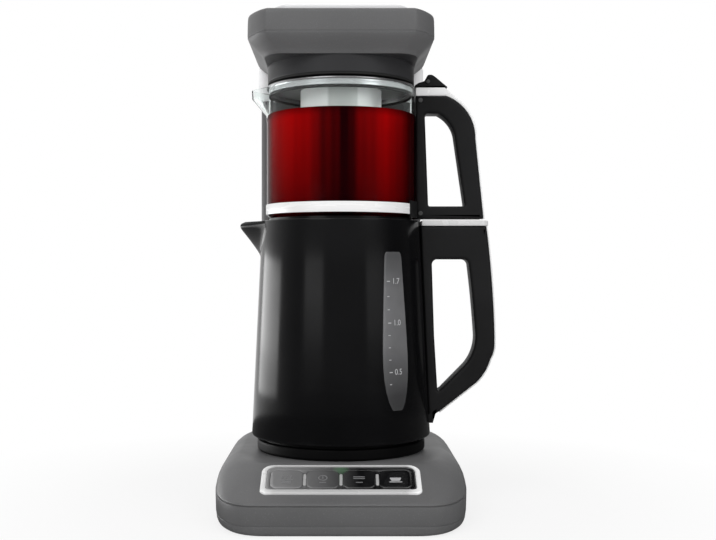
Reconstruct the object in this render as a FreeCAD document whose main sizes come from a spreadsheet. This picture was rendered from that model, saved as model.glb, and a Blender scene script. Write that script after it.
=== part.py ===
"""Automatic tea maker: a glass teapot on a cordless kettle, which slide into a base, column and shower head.

Millimetres, +Z up. The origin lies under the middle of the whole machine, on the surface that it stands on.
Every size is a cell of the Sizes sheet. A formula is text that names cells and derived heights, and sketches,
primitives and placements are bound to it, so a changed cell moves whatever fits to it.
"""

import FreeCAD
import Part

import math
import os
import re

import Sketcher

SIZES = {
    # shared by many sub-parts: wall, clearance of fitted pieces, how far a cutting tool runs past a face
    "wall": 2.5, "fit": 0.2, "past": 1,
    # base
    "base_width": 200, "base_depth": 254, "base_corner": 26, "lower_edge": 5,
    "foot_height": 2, "foot_radius": 9, "foot_x": 72, "foot_y": 98,
    "tray_height": 6, "crease_height": 23.5, "plateau_height": 45, "plateau_width": 172,
    "plateau_front": 76, "plateau_back": 121, "plateau_corner": 20, "cover_inset": 1.5,
    "screw_x": 80, "screw_front": 50, "screw_rear": 70, "boss_radius": 4,
    "screw_radius": 1.5, "screw_head": 3, "screw_length": 12, "screw_head_height": 1.6,
    "screw_clearance": 0.1, "thread_clearance": 0.05,
    # control panel, in the plane of the sloping front
    "panel_width": 121, "panel_length": 38, "panel_rise": 5, "bezel_rim": 3.6, "bezel_height": 1.2,
    "bezel_skirt": 1.8, "bezel_depth": 6, "plate_thickness": 3.5, "plate_recess": 0.5,
    "button_pitch": 27.5, "button_width": 24.8, "button_length": 24.6, "button_clearance": 0.3,
    "button_proud": 0.3, "button_travel": 1, "stem_radius": 3, "stem_length": 1.6, "switch_gap": 0.2,
    "board_gap": 4, "board_thickness": 1.6, "switch_side": 6, "post_width": 1.6, "post_length": 3,
    "post_inset": 2, "led_radius": 0.9,
    # column behind the kettle
    "column_width": 147.2, "column_front": 80, "column_back": 118, "column_corner": 8,
    "cable_margin": 10, "collar_wall": 2.4, "collar_drop": 32,
    "column_screw_inset": 18.6, "column_screw_rise": 65, "column_screw_drop": 81,
    # pump and water path
    "pump_z": 24, "pump_face": -18, "volute_width": 18, "volute_radius": 17,
    "nipple_radius": 3.5, "nipple_length": 6, "nipple_wall": 1, "motor_radius": 14, "motor_length": 40,
    "cradle_margin": 4, "shaft_radius": 2, "shaft_clearance": 0.05, "impeller_gap": 1, "blade_thickness": 2,
    "hub_radius": 4.5, "hose_radius": 5, "hose_bore": 3, "hose_bend": 8, "hose_run": 0.5,
    "riser_radius": 4, "riser_wall": 1, "riser_bend": 14, "riser_rise": 9,
    # dock, whose heights count from the kettle's foot
    "nozzle_rise": 19, "nozzle_radius": 6, "nozzle_reach": 12.5, "nozzle_flange": 9,
    "flange_thickness": 3, "barb_length": 5, "nozzle_bore": 3.2,
    "contact_rise": 41, "contact_pitch": 9, "contact_radius": 1.5, "contact_gap": 0.3,
    "contact_block_width": 32, "contact_block_height": 12, "contact_block_depth": 7,
    "contact_block_proud": 0.8,
    # power supply and cord entry
    "supply_width": 90, "supply_length": 60, "supply_post": 6, "relay_height": 15, "relay_width": 19,
    "relay_length": 16, "relay_front": 10, "relay_margin": 8,
    "transformer_width": 32, "transformer_length": 28,
    "gland_x": 60, "gland_radius": 7, "gland_bore": 3.6, "gland_length": 9,
    # kettle
    "ring_radius": 70.4, "ring_height": 9, "groove_radius": 66.5, "groove_height": 3,
    "kettle_foot_radius": 75, "kettle_top_radius": 66.5, "kettle_height": 179, "kettle_wall": 2.5,
    "flange_radius": 60, "heater_thickness": 2, "element_radius": 45, "element_tube": 3.5,
    "thermostat_radius": 10, "thermostat_height": 7, "socket_radius": 12, "socket_depth": 17,
    "socket_recess": 8, "socket_clearance": 0.35, "socket_set_back": 1.1, "block_set_back": 2.1,
    "valve_lift": 2, "valve_thickness": 2.5, "valve_lap": 2, "valve_rib": 1,
    # water window, seen square on: rises count from the kettle's foot, the drop from its top
    "window_turn": 37.8, "window_rise": 26, "window_shoulder_rise": 41, "window_belly_rise": 68,
    "window_drop": 26, "window_top_width": 18, "window_width": 27, "window_foot_width": 12,
    "window_proud": 0.4, "window_fit": 0.1,
    # kettle spout and its filter: drops count from the kettle's top
    "spout_reach": 85.4, "spout_top_reach": 83, "spout_throat_reach": 72.8, "spout_root_reach": 1.4,
    "spout_root": 6, "spout_edge": 0.4, "spout_lip": 7, "spout_throat": 24, "spout_drop": 30.6,
    "spout_half_width": 24, "spout_throat_half": 11, "spout_wall": 2, "spout_tip_wall": 2.4,
    "spout_side_wall": 3, "tip_half_width": 1.5,
    "mouth_width": 20, "mouth_top": 8, "mouth_foot": 4, "filter_drop": 28, "filter_height": 22,
    "filter_width": 29, "filter_thickness": 1, "filter_inset": 1.6, "slot_pitch": 5, "slot_width": 3,
    # kettle lid and the rim that the jug is pushed against
    "lid_plug": 5, "seat_inset": 2, "seat_width": 10.5, "seat_rise": 2, "steam_hole": 5,
    "seal_thickness": 1.6, "seal_height": 2, "rim_gap": 0.9, "rim_height": 3.5, "rim_start": 22,
    # kettle handle: reaches count from the kettle's foot, drops from its top
    "handle_width": 24, "grip_reach": 53.6, "grip_top_reach": 46.8, "grip_thickness": 16.1,
    "grip_sweep": 900, "grip_root": 8, "grip_top_drop": 4, "grip_mid_drop": 96,
    "grip_belly_drop": 110, "grip_drop": 165.4, "elbow_reach": 38, "elbow_drop": 135.5,
    "elbow_radius": 44, "heel_reach": 7, "heel_drop": 159.5,
    "spine_top": 1, "spine_mid": 3, "spine_low": 5.8, "gap_top_drop": 32, "gap_top_reach": 28.6,
    "gap_drop": 142.5, "gap_corner": 3, "gap_corner_rise": 2, "gap_elbow_reach": 28.5,
    "gap_elbow_drop": 120.5, "gap_elbow_radius": 36, "plate_gap": 0.5, "plate_reach": 48.5,
    "trim": 1.3, "trim_across": 0.6, "trim_down": 0.8, "trim_width": 14,
    # glass jug, its band and the strainer behind its lip
    "glass_radius": 62.5, "glass_wall": 2.2, "glass_height": 108.5, "glass_floor": 3, "glass_heel": 3,
    "band_rise": 3, "band_height": 8.5, "band_thickness": 0.8,
    "jug_spout_reach": 12.8, "jug_spout_top": 5.5, "jug_spout_drop": 24.5, "jug_spout_half_width": 15,
    "jug_spout_root": 5, "jug_spout_foot": 0.8, "channel_rise": 0.5,
    "strainer_thickness": 0.8, "strainer_width": 24, "strainer_drop": 4, "mesh_pitch": 4, "mesh_slot": 2.6,
    # jug handle: reaches count from the glass, drops from the handle's top
    "jug_handle_width": 22, "jug_foot_reach": 56.8, "jug_elbow_reach": 50, "jug_elbow_drop": 36,
    "jug_elbow_radius": 37, "jug_shoulder_reach": 25.5, "jug_bar_thickness": 15,
    "jug_grip_thickness": 16, "jug_foot_thickness": 14.5, "jug_spine": 7.7, "jug_spine_low": 11.1,
    "jug_gap_reach": 18.7, "jug_gap_radius": 26, "jug_root": 4, "jug_handle_top_drop": 8,
    "jug_trim_height": 7, "jug_trim_start": 0.3, "jug_trim_tail": 8, "jug_trim_bend": 38,
    "side_screw_radius": 1.8, "side_screw_head": 1, "side_screw_inset": 4, "side_screw_rise": 4.5,
    # jug lid and its lever
    "cap_thickness": 2.5, "cap_plug": 8.5, "cap_rim": 2.6, "cap_hole": 10,
    "drip_length": 12, "drip_wall": 1.5,
    "lever_start": 3, "lever_tip": 27.5, "lever_height": 11, "lever_step": 0.5, "lever_round": 1,
    "lever_width": 16, "lever_peak": 4, "lever_fall": 6.5, "tongue_length": 3.6, "tongue_thickness": 0.8,
    "pin_radius": 1.5, "pin_reach": 10.5, "pin_rise": 5, "ear_gap": 0.3, "ear_thickness": 2,
    "ear_half_length": 3, "ear_rise": 2.5,
    # head
    "neck_gap": 1.2, "gasket_thickness": 1.3, "gasket_width": 4.6, "neck_inset": 0.9, "neck_wall": 2.5,
    "neck_height": 14.5, "throat_inset": 7.5, "knee_height": 6, "knee_inset": 3,
    "head_taper": 15, "head_inset": 12, "head_width": 150, "head_front": 76, "head_corner": 15,
    "head_height": 18, "head_bevel": 2, "top_plate": 7, "top_plate_inset": 18,
    "shower_set": 1, "shower_radius": 45, "shower_depth": 8, "shower_flange": 2, "shower_sole": 1.5,
    "shower_side": 2, "shower_boss": 7, "boss_rise": 3, "shower_hole": 1.2,
}

SHOWER_RINGS = {12: 6, 24: 10, 36: 14}  # radius of each ring of holes, in millimetres, and its count
BLADES = 6

DERIVED = {
    "axis_x": "-(kettle_foot_radius + grip_reach + trim - base_width / 2) / 2",
    "base_front": "base_depth / 2",
    "tray_top": "foot_height + tray_height",
    "tray_floor": "foot_height + wall",
    "slope_angle": "atan((plateau_height - crease_height) / (base_front - plateau_front))",
    "panel_y": "-(base_front + plateau_front) / 2 + panel_rise * cos(slope_angle)",
    "panel_z": "(crease_height + plateau_height) / 2 + panel_rise * sin(slope_angle)",
    "opening_width": "panel_width - 2 * bezel_rim",
    "opening_length": "panel_length - 2 * bezel_rim",
    "plate_under": "-plate_recess - plate_thickness",
    "board_top": "plate_under - board_gap",
    "led_y": "opening_length / 2 - post_inset",
    "gland_z": "(crease_height + tray_top) / 2",
    "column_middle": "(column_front + column_back) / 2",
    "column_screw_x": "column_width / 2 - column_screw_inset",
    "nozzle_height": "kettle_foot + nozzle_rise",
    "contact_height": "kettle_foot + contact_rise",
    "contact_low": "contact_height - contact_block_height / 2",
    "contact_high": "contact_height + contact_block_height / 2",
    "pump_rear": "pump_face - volute_width",
    "impeller_start": "pump_rear + wall + impeller_gap",
    "impeller_width": "volute_width - 2 * wall - 2 * impeller_gap",
    "shaft_start": "pump_rear - motor_length / 2 + past",
    "riser_x": "pump_face - volute_width / 2",
    "hose_start": "column_front + wall + flange_thickness + barb_length",
    "pump_y": "hose_start + hose_run + hose_bend",
    "ring_top": "plateau_height + ring_height",
    "kettle_foot": "ring_top + groove_height",
    "kettle_top": "kettle_foot + kettle_height",
    "kettle_slope": "(kettle_foot_radius - kettle_top_radius) / kettle_height",
    "heater_top": "kettle_foot + kettle_wall + heater_thickness",
    "nozzle_tip": "column_front - nozzle_reach",
    "socket_face": "kettle_foot_radius - kettle_slope * (nozzle_height - kettle_foot) - socket_set_back",
    "block_face": "kettle_foot_radius - kettle_slope * (contact_height - kettle_foot) - block_set_back",
    "kettle_bore": "kettle_top_radius - kettle_wall",
    "socket_back": "socket_face - socket_depth",
    "lid_radius": "kettle_bore - fit",
    "lid_low": "kettle_top - lid_plug",
    "window_low": "kettle_foot + window_rise",
    "window_high": "kettle_top - window_drop",
    "window_shoulder": "kettle_foot + window_shoulder_rise",
    "window_belly": "kettle_foot + window_belly_rise",
    "seat_outer": "glass_radius - seat_inset",
    "seat_inner": "seat_outer - seat_width",
    "jug_bottom": "kettle_top + seat_rise",
    "glass_bore": "glass_radius - glass_wall",
    "glass_top": "jug_bottom + glass_height",
    "band_radius": "glass_radius + band_thickness",
    "cap_top": "glass_top + cap_thickness",
    "jug_grip_top": "cap_top - jug_handle_top_drop",
    "lever_low": "jug_grip_top + jug_trim_height",
    "pin_x": "glass_radius + pin_reach",
    "pin_z": "lever_low + pin_rise",
    "ear_outside": "lever_width / 2 + ear_gap + ear_thickness",
    "gasket_bottom": "cap_top + neck_gap",
    "neck_bottom": "gasket_bottom + gasket_thickness",
    "head_bottom": "neck_bottom + neck_height",
    "head_side": "head_bottom + head_taper",
    "head_top": "head_side + head_height",
    "head_back": "column_back + collar_wall",
    "neck_radius": "glass_radius - neck_inset",
    "neck_bore": "neck_radius - neck_wall",
    "throat_radius": "neck_radius - throat_inset",
    "shower_top": "head_bottom - shower_set",
    "shower_plate": "shower_top - shower_flange",
    "shower_low": "shower_plate - shower_depth",
    "shower_inlet": "shower_top + boss_rise",
    "riser_top": "head_side + riser_rise",
}

TURNS = {"x": ((0, 1, 0), 90), "-x": ((0, 1, 0), -90), "y": ((1, 0, 0), -90), "-y": ((1, 0, 0), 90)}

doc = FreeCAD.newDocument("TeaMaker")
sheet = doc.addObject("Spreadsheet::Sheet", "Sizes")
for row, (alias, size) in enumerate(SIZES.items(), start=1):
    sheet.set(f"A{row}", alias)
    sheet.set(f"B{row}", str(size))
    sheet.setAlias(f"B{row}", alias)
doc.recompute()
pieces = []


def bound(formula):
    """The formula with sizes written as cells of the sheet and derived names written out."""

    def swap(match):
        word = match.group(0)
        if word in SIZES:
            return "Sizes." + word
        return f"({bound(DERIVED[word])})" if word in DERIVED else word

    return re.sub(r"[a-z]\w*", swap, formula)


def value(formula):
    result = sheet.evalExpression(bound(formula))
    return float(getattr(result, "Value", result))


def bind(obj, path, formula):
    obj.setExpression(path, bound(formula))


def place(obj, at, axis=None, angle="0"):
    """Moves an object to a point of three formulas, turned about an axis through its own origin."""
    if axis:
        obj.Placement = FreeCAD.Placement(FreeCAD.Vector(), FreeCAD.Rotation(FreeCAD.Vector(*axis), 1))
        bind(obj, "Placement.Rotation.Angle", angle)
    for letter, formula in zip("xyz", at):
        bind(obj, "Placement.Base." + letter, formula)
    return obj


# Primitives and booleans


def box(x, y, z):
    """A box between pairs of formulas along each axis."""
    solid = doc.addObject("Part::Box", "Box")
    for side, (low, high) in zip(("Length", "Width", "Height"), (x, y, z)):
        bind(solid, side, f"({high}) - ({low})")
    return place(solid, (x[0], y[0], z[0]))


def middle_box(width, y, z):
    return box((f"-({width}) / 2", f"({width}) / 2"), y, z)


def cylinder(radius, length, at=("0", "0", "0"), along="z"):
    solid = doc.addObject("Part::Cylinder", "Cylinder")
    bind(solid, "Radius", radius)
    bind(solid, "Height", length)
    if along == "z":
        return place(solid, at)
    axis, angle = TURNS[along]
    return place(solid, at, axis, str(angle))


def cone(low_radius, high_radius, low, high):
    solid = doc.addObject("Part::Cone", "Cone")
    bind(solid, "Radius1", low_radius)
    bind(solid, "Radius2", high_radius)
    bind(solid, "Height", f"({high}) - ({low})")
    return place(solid, ("0", "0", low))


def cut(base, *tools):
    for tool in tools:
        result = doc.addObject("Part::Cut", "Cut")
        result.Base, result.Tool = base, tool
        base = result
    return base


def fuse(*solids):
    result = doc.addObject("Part::MultiFuse", "Fuse")
    result.Shapes = list(solids)
    return result


def common(first, second):
    result = doc.addObject("Part::Common", "Common")
    result.Base, result.Tool = first, second
    return result


def group(solids):
    result = doc.addObject("Part::Compound", "Group")
    result.Links = list(solids)
    return result


# Sketched bodies


def arc_between(start, end, radius):
    """An arc from start to end, anticlockwise for a positive radius, and the ends of its two vertices."""
    chord = end - start
    height = math.sqrt(max(radius**2 - (chord.Length / 2) ** 2, 0))
    normal = FreeCAD.Vector(-chord.y, chord.x, 0).normalize() * math.copysign(height, radius)
    centre = start + chord / 2 + normal
    first, last = (start, end) if radius > 0 else (end, start)
    angles = [math.atan2(point.y - centre.y, point.x - centre.x) for point in (first, last)]
    if angles[1] < angles[0]:
        angles[1] += 2 * math.pi
    circle = Part.Circle(centre, FreeCAD.Vector(0, 0, 1), abs(radius))
    return Part.ArcOfCircle(circle, *angles), (1, 2) if radius > 0 else (2, 1)


def add_loop(sketch, points):
    """Closed outline. A point is (x, y) or (x, y, radius), with the radius of the arc to the next point."""
    first = sketch.GeometryCount
    corners = [FreeCAD.Vector(value(point[0]), value(point[1]), 0) for point in points]
    ends = []
    for number, point in enumerate(points):
        start, end = corners[number], corners[(number + 1) % len(corners)]
        if len(point) == 3:
            edge, sides = arc_between(start, end, value(point[2]))
        else:
            edge, sides = Part.LineSegment(start, end), (1, 2)
        sketch.addGeometry(edge)
        ends.append(sides)
    for number, point in enumerate(points):
        edge, following = first + number, first + (number + 1) % len(points)
        joint = (edge, ends[number][1], following, ends[(number + 1) % len(points)][0])
        sketch.addConstraint(Sketcher.Constraint("Coincident", *joint))
        for kind, formula in zip(("DistanceX", "DistanceY"), point):
            place_of_corner = (-1, 1, edge, ends[number][0], value(formula))
            index = sketch.addConstraint(Sketcher.Constraint(kind, *place_of_corner))
            bind(sketch, f"Constraints[{index}]", formula)
        if len(point) == 3:
            index = sketch.addConstraint(Sketcher.Constraint("Radius", edge, abs(value(point[2]))))
            bind(sketch, f"Constraints[{index}]", f"abs({point[2]})")


def outline(body, plane, loops, height="0"):
    sketch = body.newObject("Sketcher::SketchObject", "Outline")
    support = [feature for feature in body.Origin.OriginFeatures if feature.Role == plane + "_Plane"]
    sketch.AttachmentSupport = (support[0], [""])
    sketch.MapMode = "FlatFace"
    bind(sketch, "AttachmentOffset.Base.z", height)
    for points in loops:
        add_loop(sketch, points)
    return sketch


def turned(points):
    """A body of revolution about Z through (radius, height) points."""
    body = doc.addObject("PartDesign::Body", "Turned")
    profile = outline(body, "XZ", [points])
    revolution = body.newObject("PartDesign::Revolution", "Revolution")
    revolution.Profile = profile
    revolution.ReferenceAxis = (profile, ["V_Axis"])
    revolution.Angle = 360
    return body


def padded(plane, loops, length, height="0", symmetric=False):
    body = doc.addObject("PartDesign::Body", "Padded")
    profile = outline(body, plane, loops, height)
    pad = body.newObject("PartDesign::Pad", "Pad")
    pad.Profile = profile
    bind(pad, "Length", length)
    if symmetric:
        pad.SideType = "Symmetric"
    return body


def lofted(*sections):
    """A ruled solid through (height, points) sections with as many corners each."""
    body = doc.addObject("PartDesign::Body", "Lofted")
    profiles = [outline(body, "XY", [points], height) for height, points in sections]
    loft = body.newObject("PartDesign::AdditiveLoft", "Loft")
    loft.Profile = profiles[0]
    loft.Sections = profiles[1:]
    loft.Ruled = True
    return body


def octagon(width, front, back, corner, inset="0"):
    """A box outline with its corners cut off, each side moved in by the inset."""
    half = f"(({width}) / 2 - ({inset}))"
    near = f"(-({front}) + ({inset}))"
    far = f"(({back}) - ({inset}))"
    nip = f"(({corner}) - ({inset}) * (2 - sqrt(2)))"
    return [
        (f"{nip} - {half}", near), (f"{half} - {nip}", near),
        (half, f"{near} + {nip}"), (half, f"{far} - {nip}"),
        (f"{half} - {nip}", far), (f"{nip} - {half}", far),
        (f"-{half}", f"{far} - {nip}"), (f"-{half}", f"{near} + {nip}"),
    ]


def nose(inset, shrink="0"):
    """The head's outline in front of the column, with cut front corners."""
    half = f"(head_width / 2 - ({inset}) - ({shrink}))"
    near = f"(-head_front + ({inset}) + ({shrink}))"
    far = f"(column_front - collar_wall - ({shrink}))"
    return [
        (f"head_corner - {half}", near), (f"{half} - head_corner", near), (half, f"{near} + head_corner"),
        (half, far), (f"-{half}", far), (f"-{half}", f"{near} + head_corner"),
    ]


def wedge(tip, half_width, root):
    """A pouring lip's level outline towards -X, blunt at the tip."""
    return [
        (f"-({root})", f"-({half_width})"), (f"-({root})", half_width),
        (f"-({tip})", "tip_half_width"), (f"-({tip})", "-tip_half_width"),
    ]


# Naming and placing


def piece(label, obj):
    """A finished sub-part: named, and shifted so that the machine's middle lies over the origin."""
    own = dict(obj.ExpressionEngine).get(".Placement.Base.x", "0")
    obj.setExpression("Placement.Base.x", f"{own} + {bound('axis_x')}")
    obj.Label = label
    pieces.append(obj)


def lay_on_slope(obj, x):
    """Turns what was drawn about the origin into the plane of the sloping front."""
    place(obj, (x, "panel_y", "panel_z"), (1, 0, 0), "slope_angle")


def panel_piece(label, obj):
    """A finished sub-part drawn flat, then laid on the sloping front."""
    lay_on_slope(obj, "axis_x")
    obj.Label = label
    pieces.append(obj)


def hose(label, route, bend, radius, bore):
    """A tube along straight runs joined by tangent arcs of one radius."""
    points = [FreeCAD.Vector(*(value(formula) for formula in point)) for point in route]
    radius_of_bend, edges, last = value(bend), [], points[0]
    for before, corner, after in zip(points, points[1:], points[2:]):
        inward, outward = (before - corner).normalize(), (after - corner).normalize()
        half_turn = inward.getAngle(outward) / 2
        start = corner + inward * (radius_of_bend / math.tan(half_turn))
        end = corner + outward * (radius_of_bend / math.tan(half_turn))
        bisector = (inward + outward).normalize()
        middle = corner + bisector * (radius_of_bend / math.sin(half_turn) - radius_of_bend)
        edges += [Part.LineSegment(last, start).toShape(), Part.Arc(start, middle, end).toShape()]
        last = end
    edges.append(Part.LineSegment(last, points[-1]).toShape())
    path = Part.Wire(edges)
    solids = []
    for size in (value(radius), value(bore)):
        ring = Part.Wire(Part.Circle(points[0], points[1] - points[0], size).toShape())
        solids.append(path.makePipeShell([ring], True, True))
    obj = doc.addObject("Part::Feature", "Hose")
    obj.Shape = solids[0].cut(solids[1])
    obj.Placement = FreeCAD.Placement(FreeCAD.Vector(value("axis_x"), 0, 0), FreeCAD.Rotation())
    obj.Label = label
    pieces.append(obj)


# Base


def screw_places():
    return [(f"{side} * screw_x", depth) for side in (-1, 1) for depth in ("-screw_front", "screw_rear")]


def make_tray():
    plan = ("base_width", "base_front", "base_front", "base_corner")
    tray = lofted(("foot_height", octagon(*plan, "lower_edge")), ("tray_top", octagon(*plan)))
    hollow = padded("XY", [octagon(*plan, "lower_edge + wall")], "tray_height", "tray_floor")
    holes = [cylinder("screw_radius + screw_clearance", "tray_height", (x, y, "foot_height - past"))
             for x, y in screw_places()]
    piece("base_tray", cut(tray, hollow, *holes))
    piece("rubber_feet", group(cylinder("foot_radius", "foot_height", (f"{x} * foot_x", f"{y} * foot_y", "0"))
                               for x in (-1, 1) for y in (-1, 1)))
    piece("base_screws", group(
        fuse(cylinder("screw_head", "screw_head_height", (x, y, "foot_height - screw_head_height")),
             cylinder("screw_radius", "screw_length", (x, y, "foot_height")))
        for x, y in screw_places()))


def cover_outside():
    floor_plan = octagon("base_width", "base_front", "base_front", "base_corner")
    return lofted(("tray_top", floor_plan), ("crease_height", floor_plan),
                  ("plateau_height",
                   octagon("plateau_width", "plateau_front", "plateau_back", "plateau_corner")))


def make_cover():
    floor_plan = octagon("base_width", "base_front", "base_front", "base_corner", "wall")
    plateau = octagon("plateau_width", "plateau_front", "plateau_back", "plateau_corner", "cover_inset")
    inside = lofted(("tray_top - past", floor_plan), ("crease_height - cover_inset", floor_plan),
                    ("plateau_height - wall", plateau))
    bosses = [cylinder("boss_radius", "plateau_height - tray_floor", (x, y, "tray_floor"))
              for x, y in screw_places()]
    above = common(fuse(*bosses), cover_outside())
    below = [cylinder("boss_radius", "tray_top - tray_floor", (x, y, "tray_floor"))
             for x, y in screw_places()]
    shell = fuse(cut(cover_outside(), inside), above, *below)

    room = "2 * bezel_skirt + 2 * fit"
    window = group([flat_box(f"opening_width + {room}", f"opening_length + {room}", "-3 * wall", "3 * wall")])
    lay_on_slope(window, "0")
    passage = middle_box("column_width - 2 * cable_margin - 2 * wall",
                         ("column_front + 2 * wall", "column_back - 2 * wall"),
                         ("plateau_height - 2 * wall", "plateau_height + past"))
    gland_start = ("gland_x", "base_front - gland_length", "gland_z")
    gland_hole = cylinder("gland_radius", "gland_length + past", gland_start, "y")
    threads = [cylinder("screw_radius + thread_clearance", "screw_length + past", (x, y, "tray_floor - past"))
               for x, y in screw_places()]
    piece("base_cover", cut(shell, window, passage, gland_hole, *threads))

    gland = cylinder("gland_radius", "gland_length", gland_start, "y")
    bore = cylinder("gland_bore", "gland_length + 2 * past",
                    ("gland_x", "base_front - gland_length - past", "gland_z"), "y")
    piece("cord_gland", cut(gland, bore))


def make_supply():
    """Power supply board on four posts, with its relay and transformer."""
    half_width, half_length = "supply_width / 2", "supply_length / 2"
    board_low = "tray_floor + supply_post"
    board_high = f"{board_low} + board_thickness"
    on_board = (board_high, f"{board_high} + relay_height")
    posts = [cylinder("screw_head", "supply_post", (f"{x} * ({half_width} - 2 * screw_head)",
                                                    f"{y} * ({half_length} - 2 * screw_head)", "tray_floor"))
             for x in (-1, 1) for y in (-1, 1)]
    board = middle_box("supply_width", (f"-{half_length}", half_length), (board_low, board_high))
    relay = box((f"relay_margin - {half_width}", f"relay_margin + relay_width - {half_width}"),
                ("-relay_front", "relay_length - relay_front"), on_board)
    transformer = box(("0", "transformer_width"), ("-transformer_length / 2", "transformer_length / 2"),
                      on_board)
    piece("power_board", fuse(*posts, board, relay, transformer))


# Control panel


def button_centre(number):
    return f"({number} - 1.5) * button_pitch"


def flat_box(width, length, low, high, x="0", y="0"):
    """A box about a point of the panel's plane, between two heights over it."""
    return box((f"({x}) - ({width}) / 2", f"({x}) + ({width}) / 2"),
               (f"({y}) - ({length}) / 2", f"({y}) + ({length}) / 2"), (low, high))


def make_panel():
    frame = fuse(flat_box("panel_width", "panel_length", "0", "bezel_height"),
                 flat_box("opening_width + 2 * bezel_skirt", "opening_length + 2 * bezel_skirt",
                          "-bezel_depth", "0"))
    hole = flat_box("opening_width", "opening_length", "-bezel_depth - past", "bezel_height + past")
    panel_piece("panel_bezel", cut(frame, hole))

    plate = flat_box("opening_width - fit", "opening_length - fit", "plate_under", "-plate_recess")
    posts = [flat_box("post_width", "post_length", "board_top", "plate_under",
                      f"{x} * button_pitch", f"{y} * led_y")
             for x, y in ((-1, -1), (-1, 1), (1, -1), (1, 1), (0, -1))]
    windows = [flat_box("button_width + 2 * button_clearance", "button_length + 2 * button_clearance",
                        "plate_under - past", "past", button_centre(number))
               for number in range(4)]
    led_hole = cylinder("led_radius", "plate_thickness + 2 * past", ("0", "led_y", "plate_under - past"))
    panel_piece("panel_plate", cut(fuse(cut(plate, *windows), *posts), led_hole))

    led = cylinder("led_radius", "-plate_recess - board_top", ("0", "led_y", "board_top"))
    panel_piece("status_led", group([led]))
    board = flat_box("opening_width - 2 * past", "opening_length - past",
                     "board_top - board_thickness", "board_top")
    panel_piece("control_board", group([board]))
    switch_top = "plate_under - stem_length - button_travel - switch_gap"
    panel_piece("tact_switches", group(
        flat_box("switch_side", "switch_side", "board_top", switch_top, button_centre(number))
        for number in range(4)))
    for number in range(4):
        cap = flat_box("button_width", "button_length", "plate_under", "button_proud",
                       button_centre(number))
        stem = cylinder("stem_radius", "stem_length",
                        (button_centre(number), "0", "plate_under - stem_length"))
        panel_piece(f"button_{number + 1}", fuse(cap, stem))


# Column


def column_plan(inset="0"):
    return [octagon("column_width", "-column_front", "column_back", "column_corner", inset)]


def column_shell():
    outer = padded("XY", column_plan(), "head_side - plateau_height", "plateau_height")
    inner = padded("XY", column_plan("wall"), "head_side - plateau_height + 2 * past",
                   "plateau_height - past")
    return cut(outer, inner)


def make_column():
    beyond = ("plateau_height - past", "head_side + past")
    rear = middle_box("column_width + 2 * past", ("column_middle", "column_back + past"), beyond)
    front = middle_box("column_width + 2 * past", ("column_front - past", "column_middle"), beyond)
    heights = ("plateau_height + column_screw_rise", "head_side - column_screw_drop")
    screws = [(f"{side} * column_screw_x", z) for side in (-1, 1) for z in heights]
    bosses = [cylinder("boss_radius", "column_back - column_front - 2 * wall",
                       (x, "column_front + wall", z), "y")
              for x, z in screws]
    threads = [cylinder("screw_radius + thread_clearance", "screw_length + wall",
                        (x, "column_back - wall - screw_length", z), "y")
               for x, z in screws]
    nozzle_hole = cylinder("nozzle_radius", "3 * wall", ("0", "column_front - wall", "nozzle_height"), "y")
    contact_slot = middle_box("contact_block_width", ("column_front - past", "column_front + wall + past"),
                              ("contact_low", "contact_high"))
    piece("column_front", cut(fuse(cut(column_shell(), rear), *bosses), nozzle_hole, contact_slot, *threads))

    holes = [cylinder("screw_radius + screw_clearance", "3 * wall", (x, "column_back - 2 * wall", z), "y")
             for x, z in screws]
    piece("column_back", cut(column_shell(), front, *holes))
    piece("column_screws", group(
        fuse(cylinder("screw_head", "screw_head_height", (x, "column_back", z), "y"),
             cylinder("screw_radius", "screw_length", (x, "column_back - screw_length", z), "y"))
        for x, z in screws))

    plan = octagon("column_width + 2 * collar_wall", "collar_wall - column_front", "head_back",
                   "column_corner + collar_wall / 2")
    collar = padded("XY", [plan], "collar_drop", "head_side - collar_drop")
    within = padded("XY", column_plan(), "collar_drop + 2 * past", "head_side - collar_drop - past")
    piece("column_collar", cut(collar, within))


# Water path and dock


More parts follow.
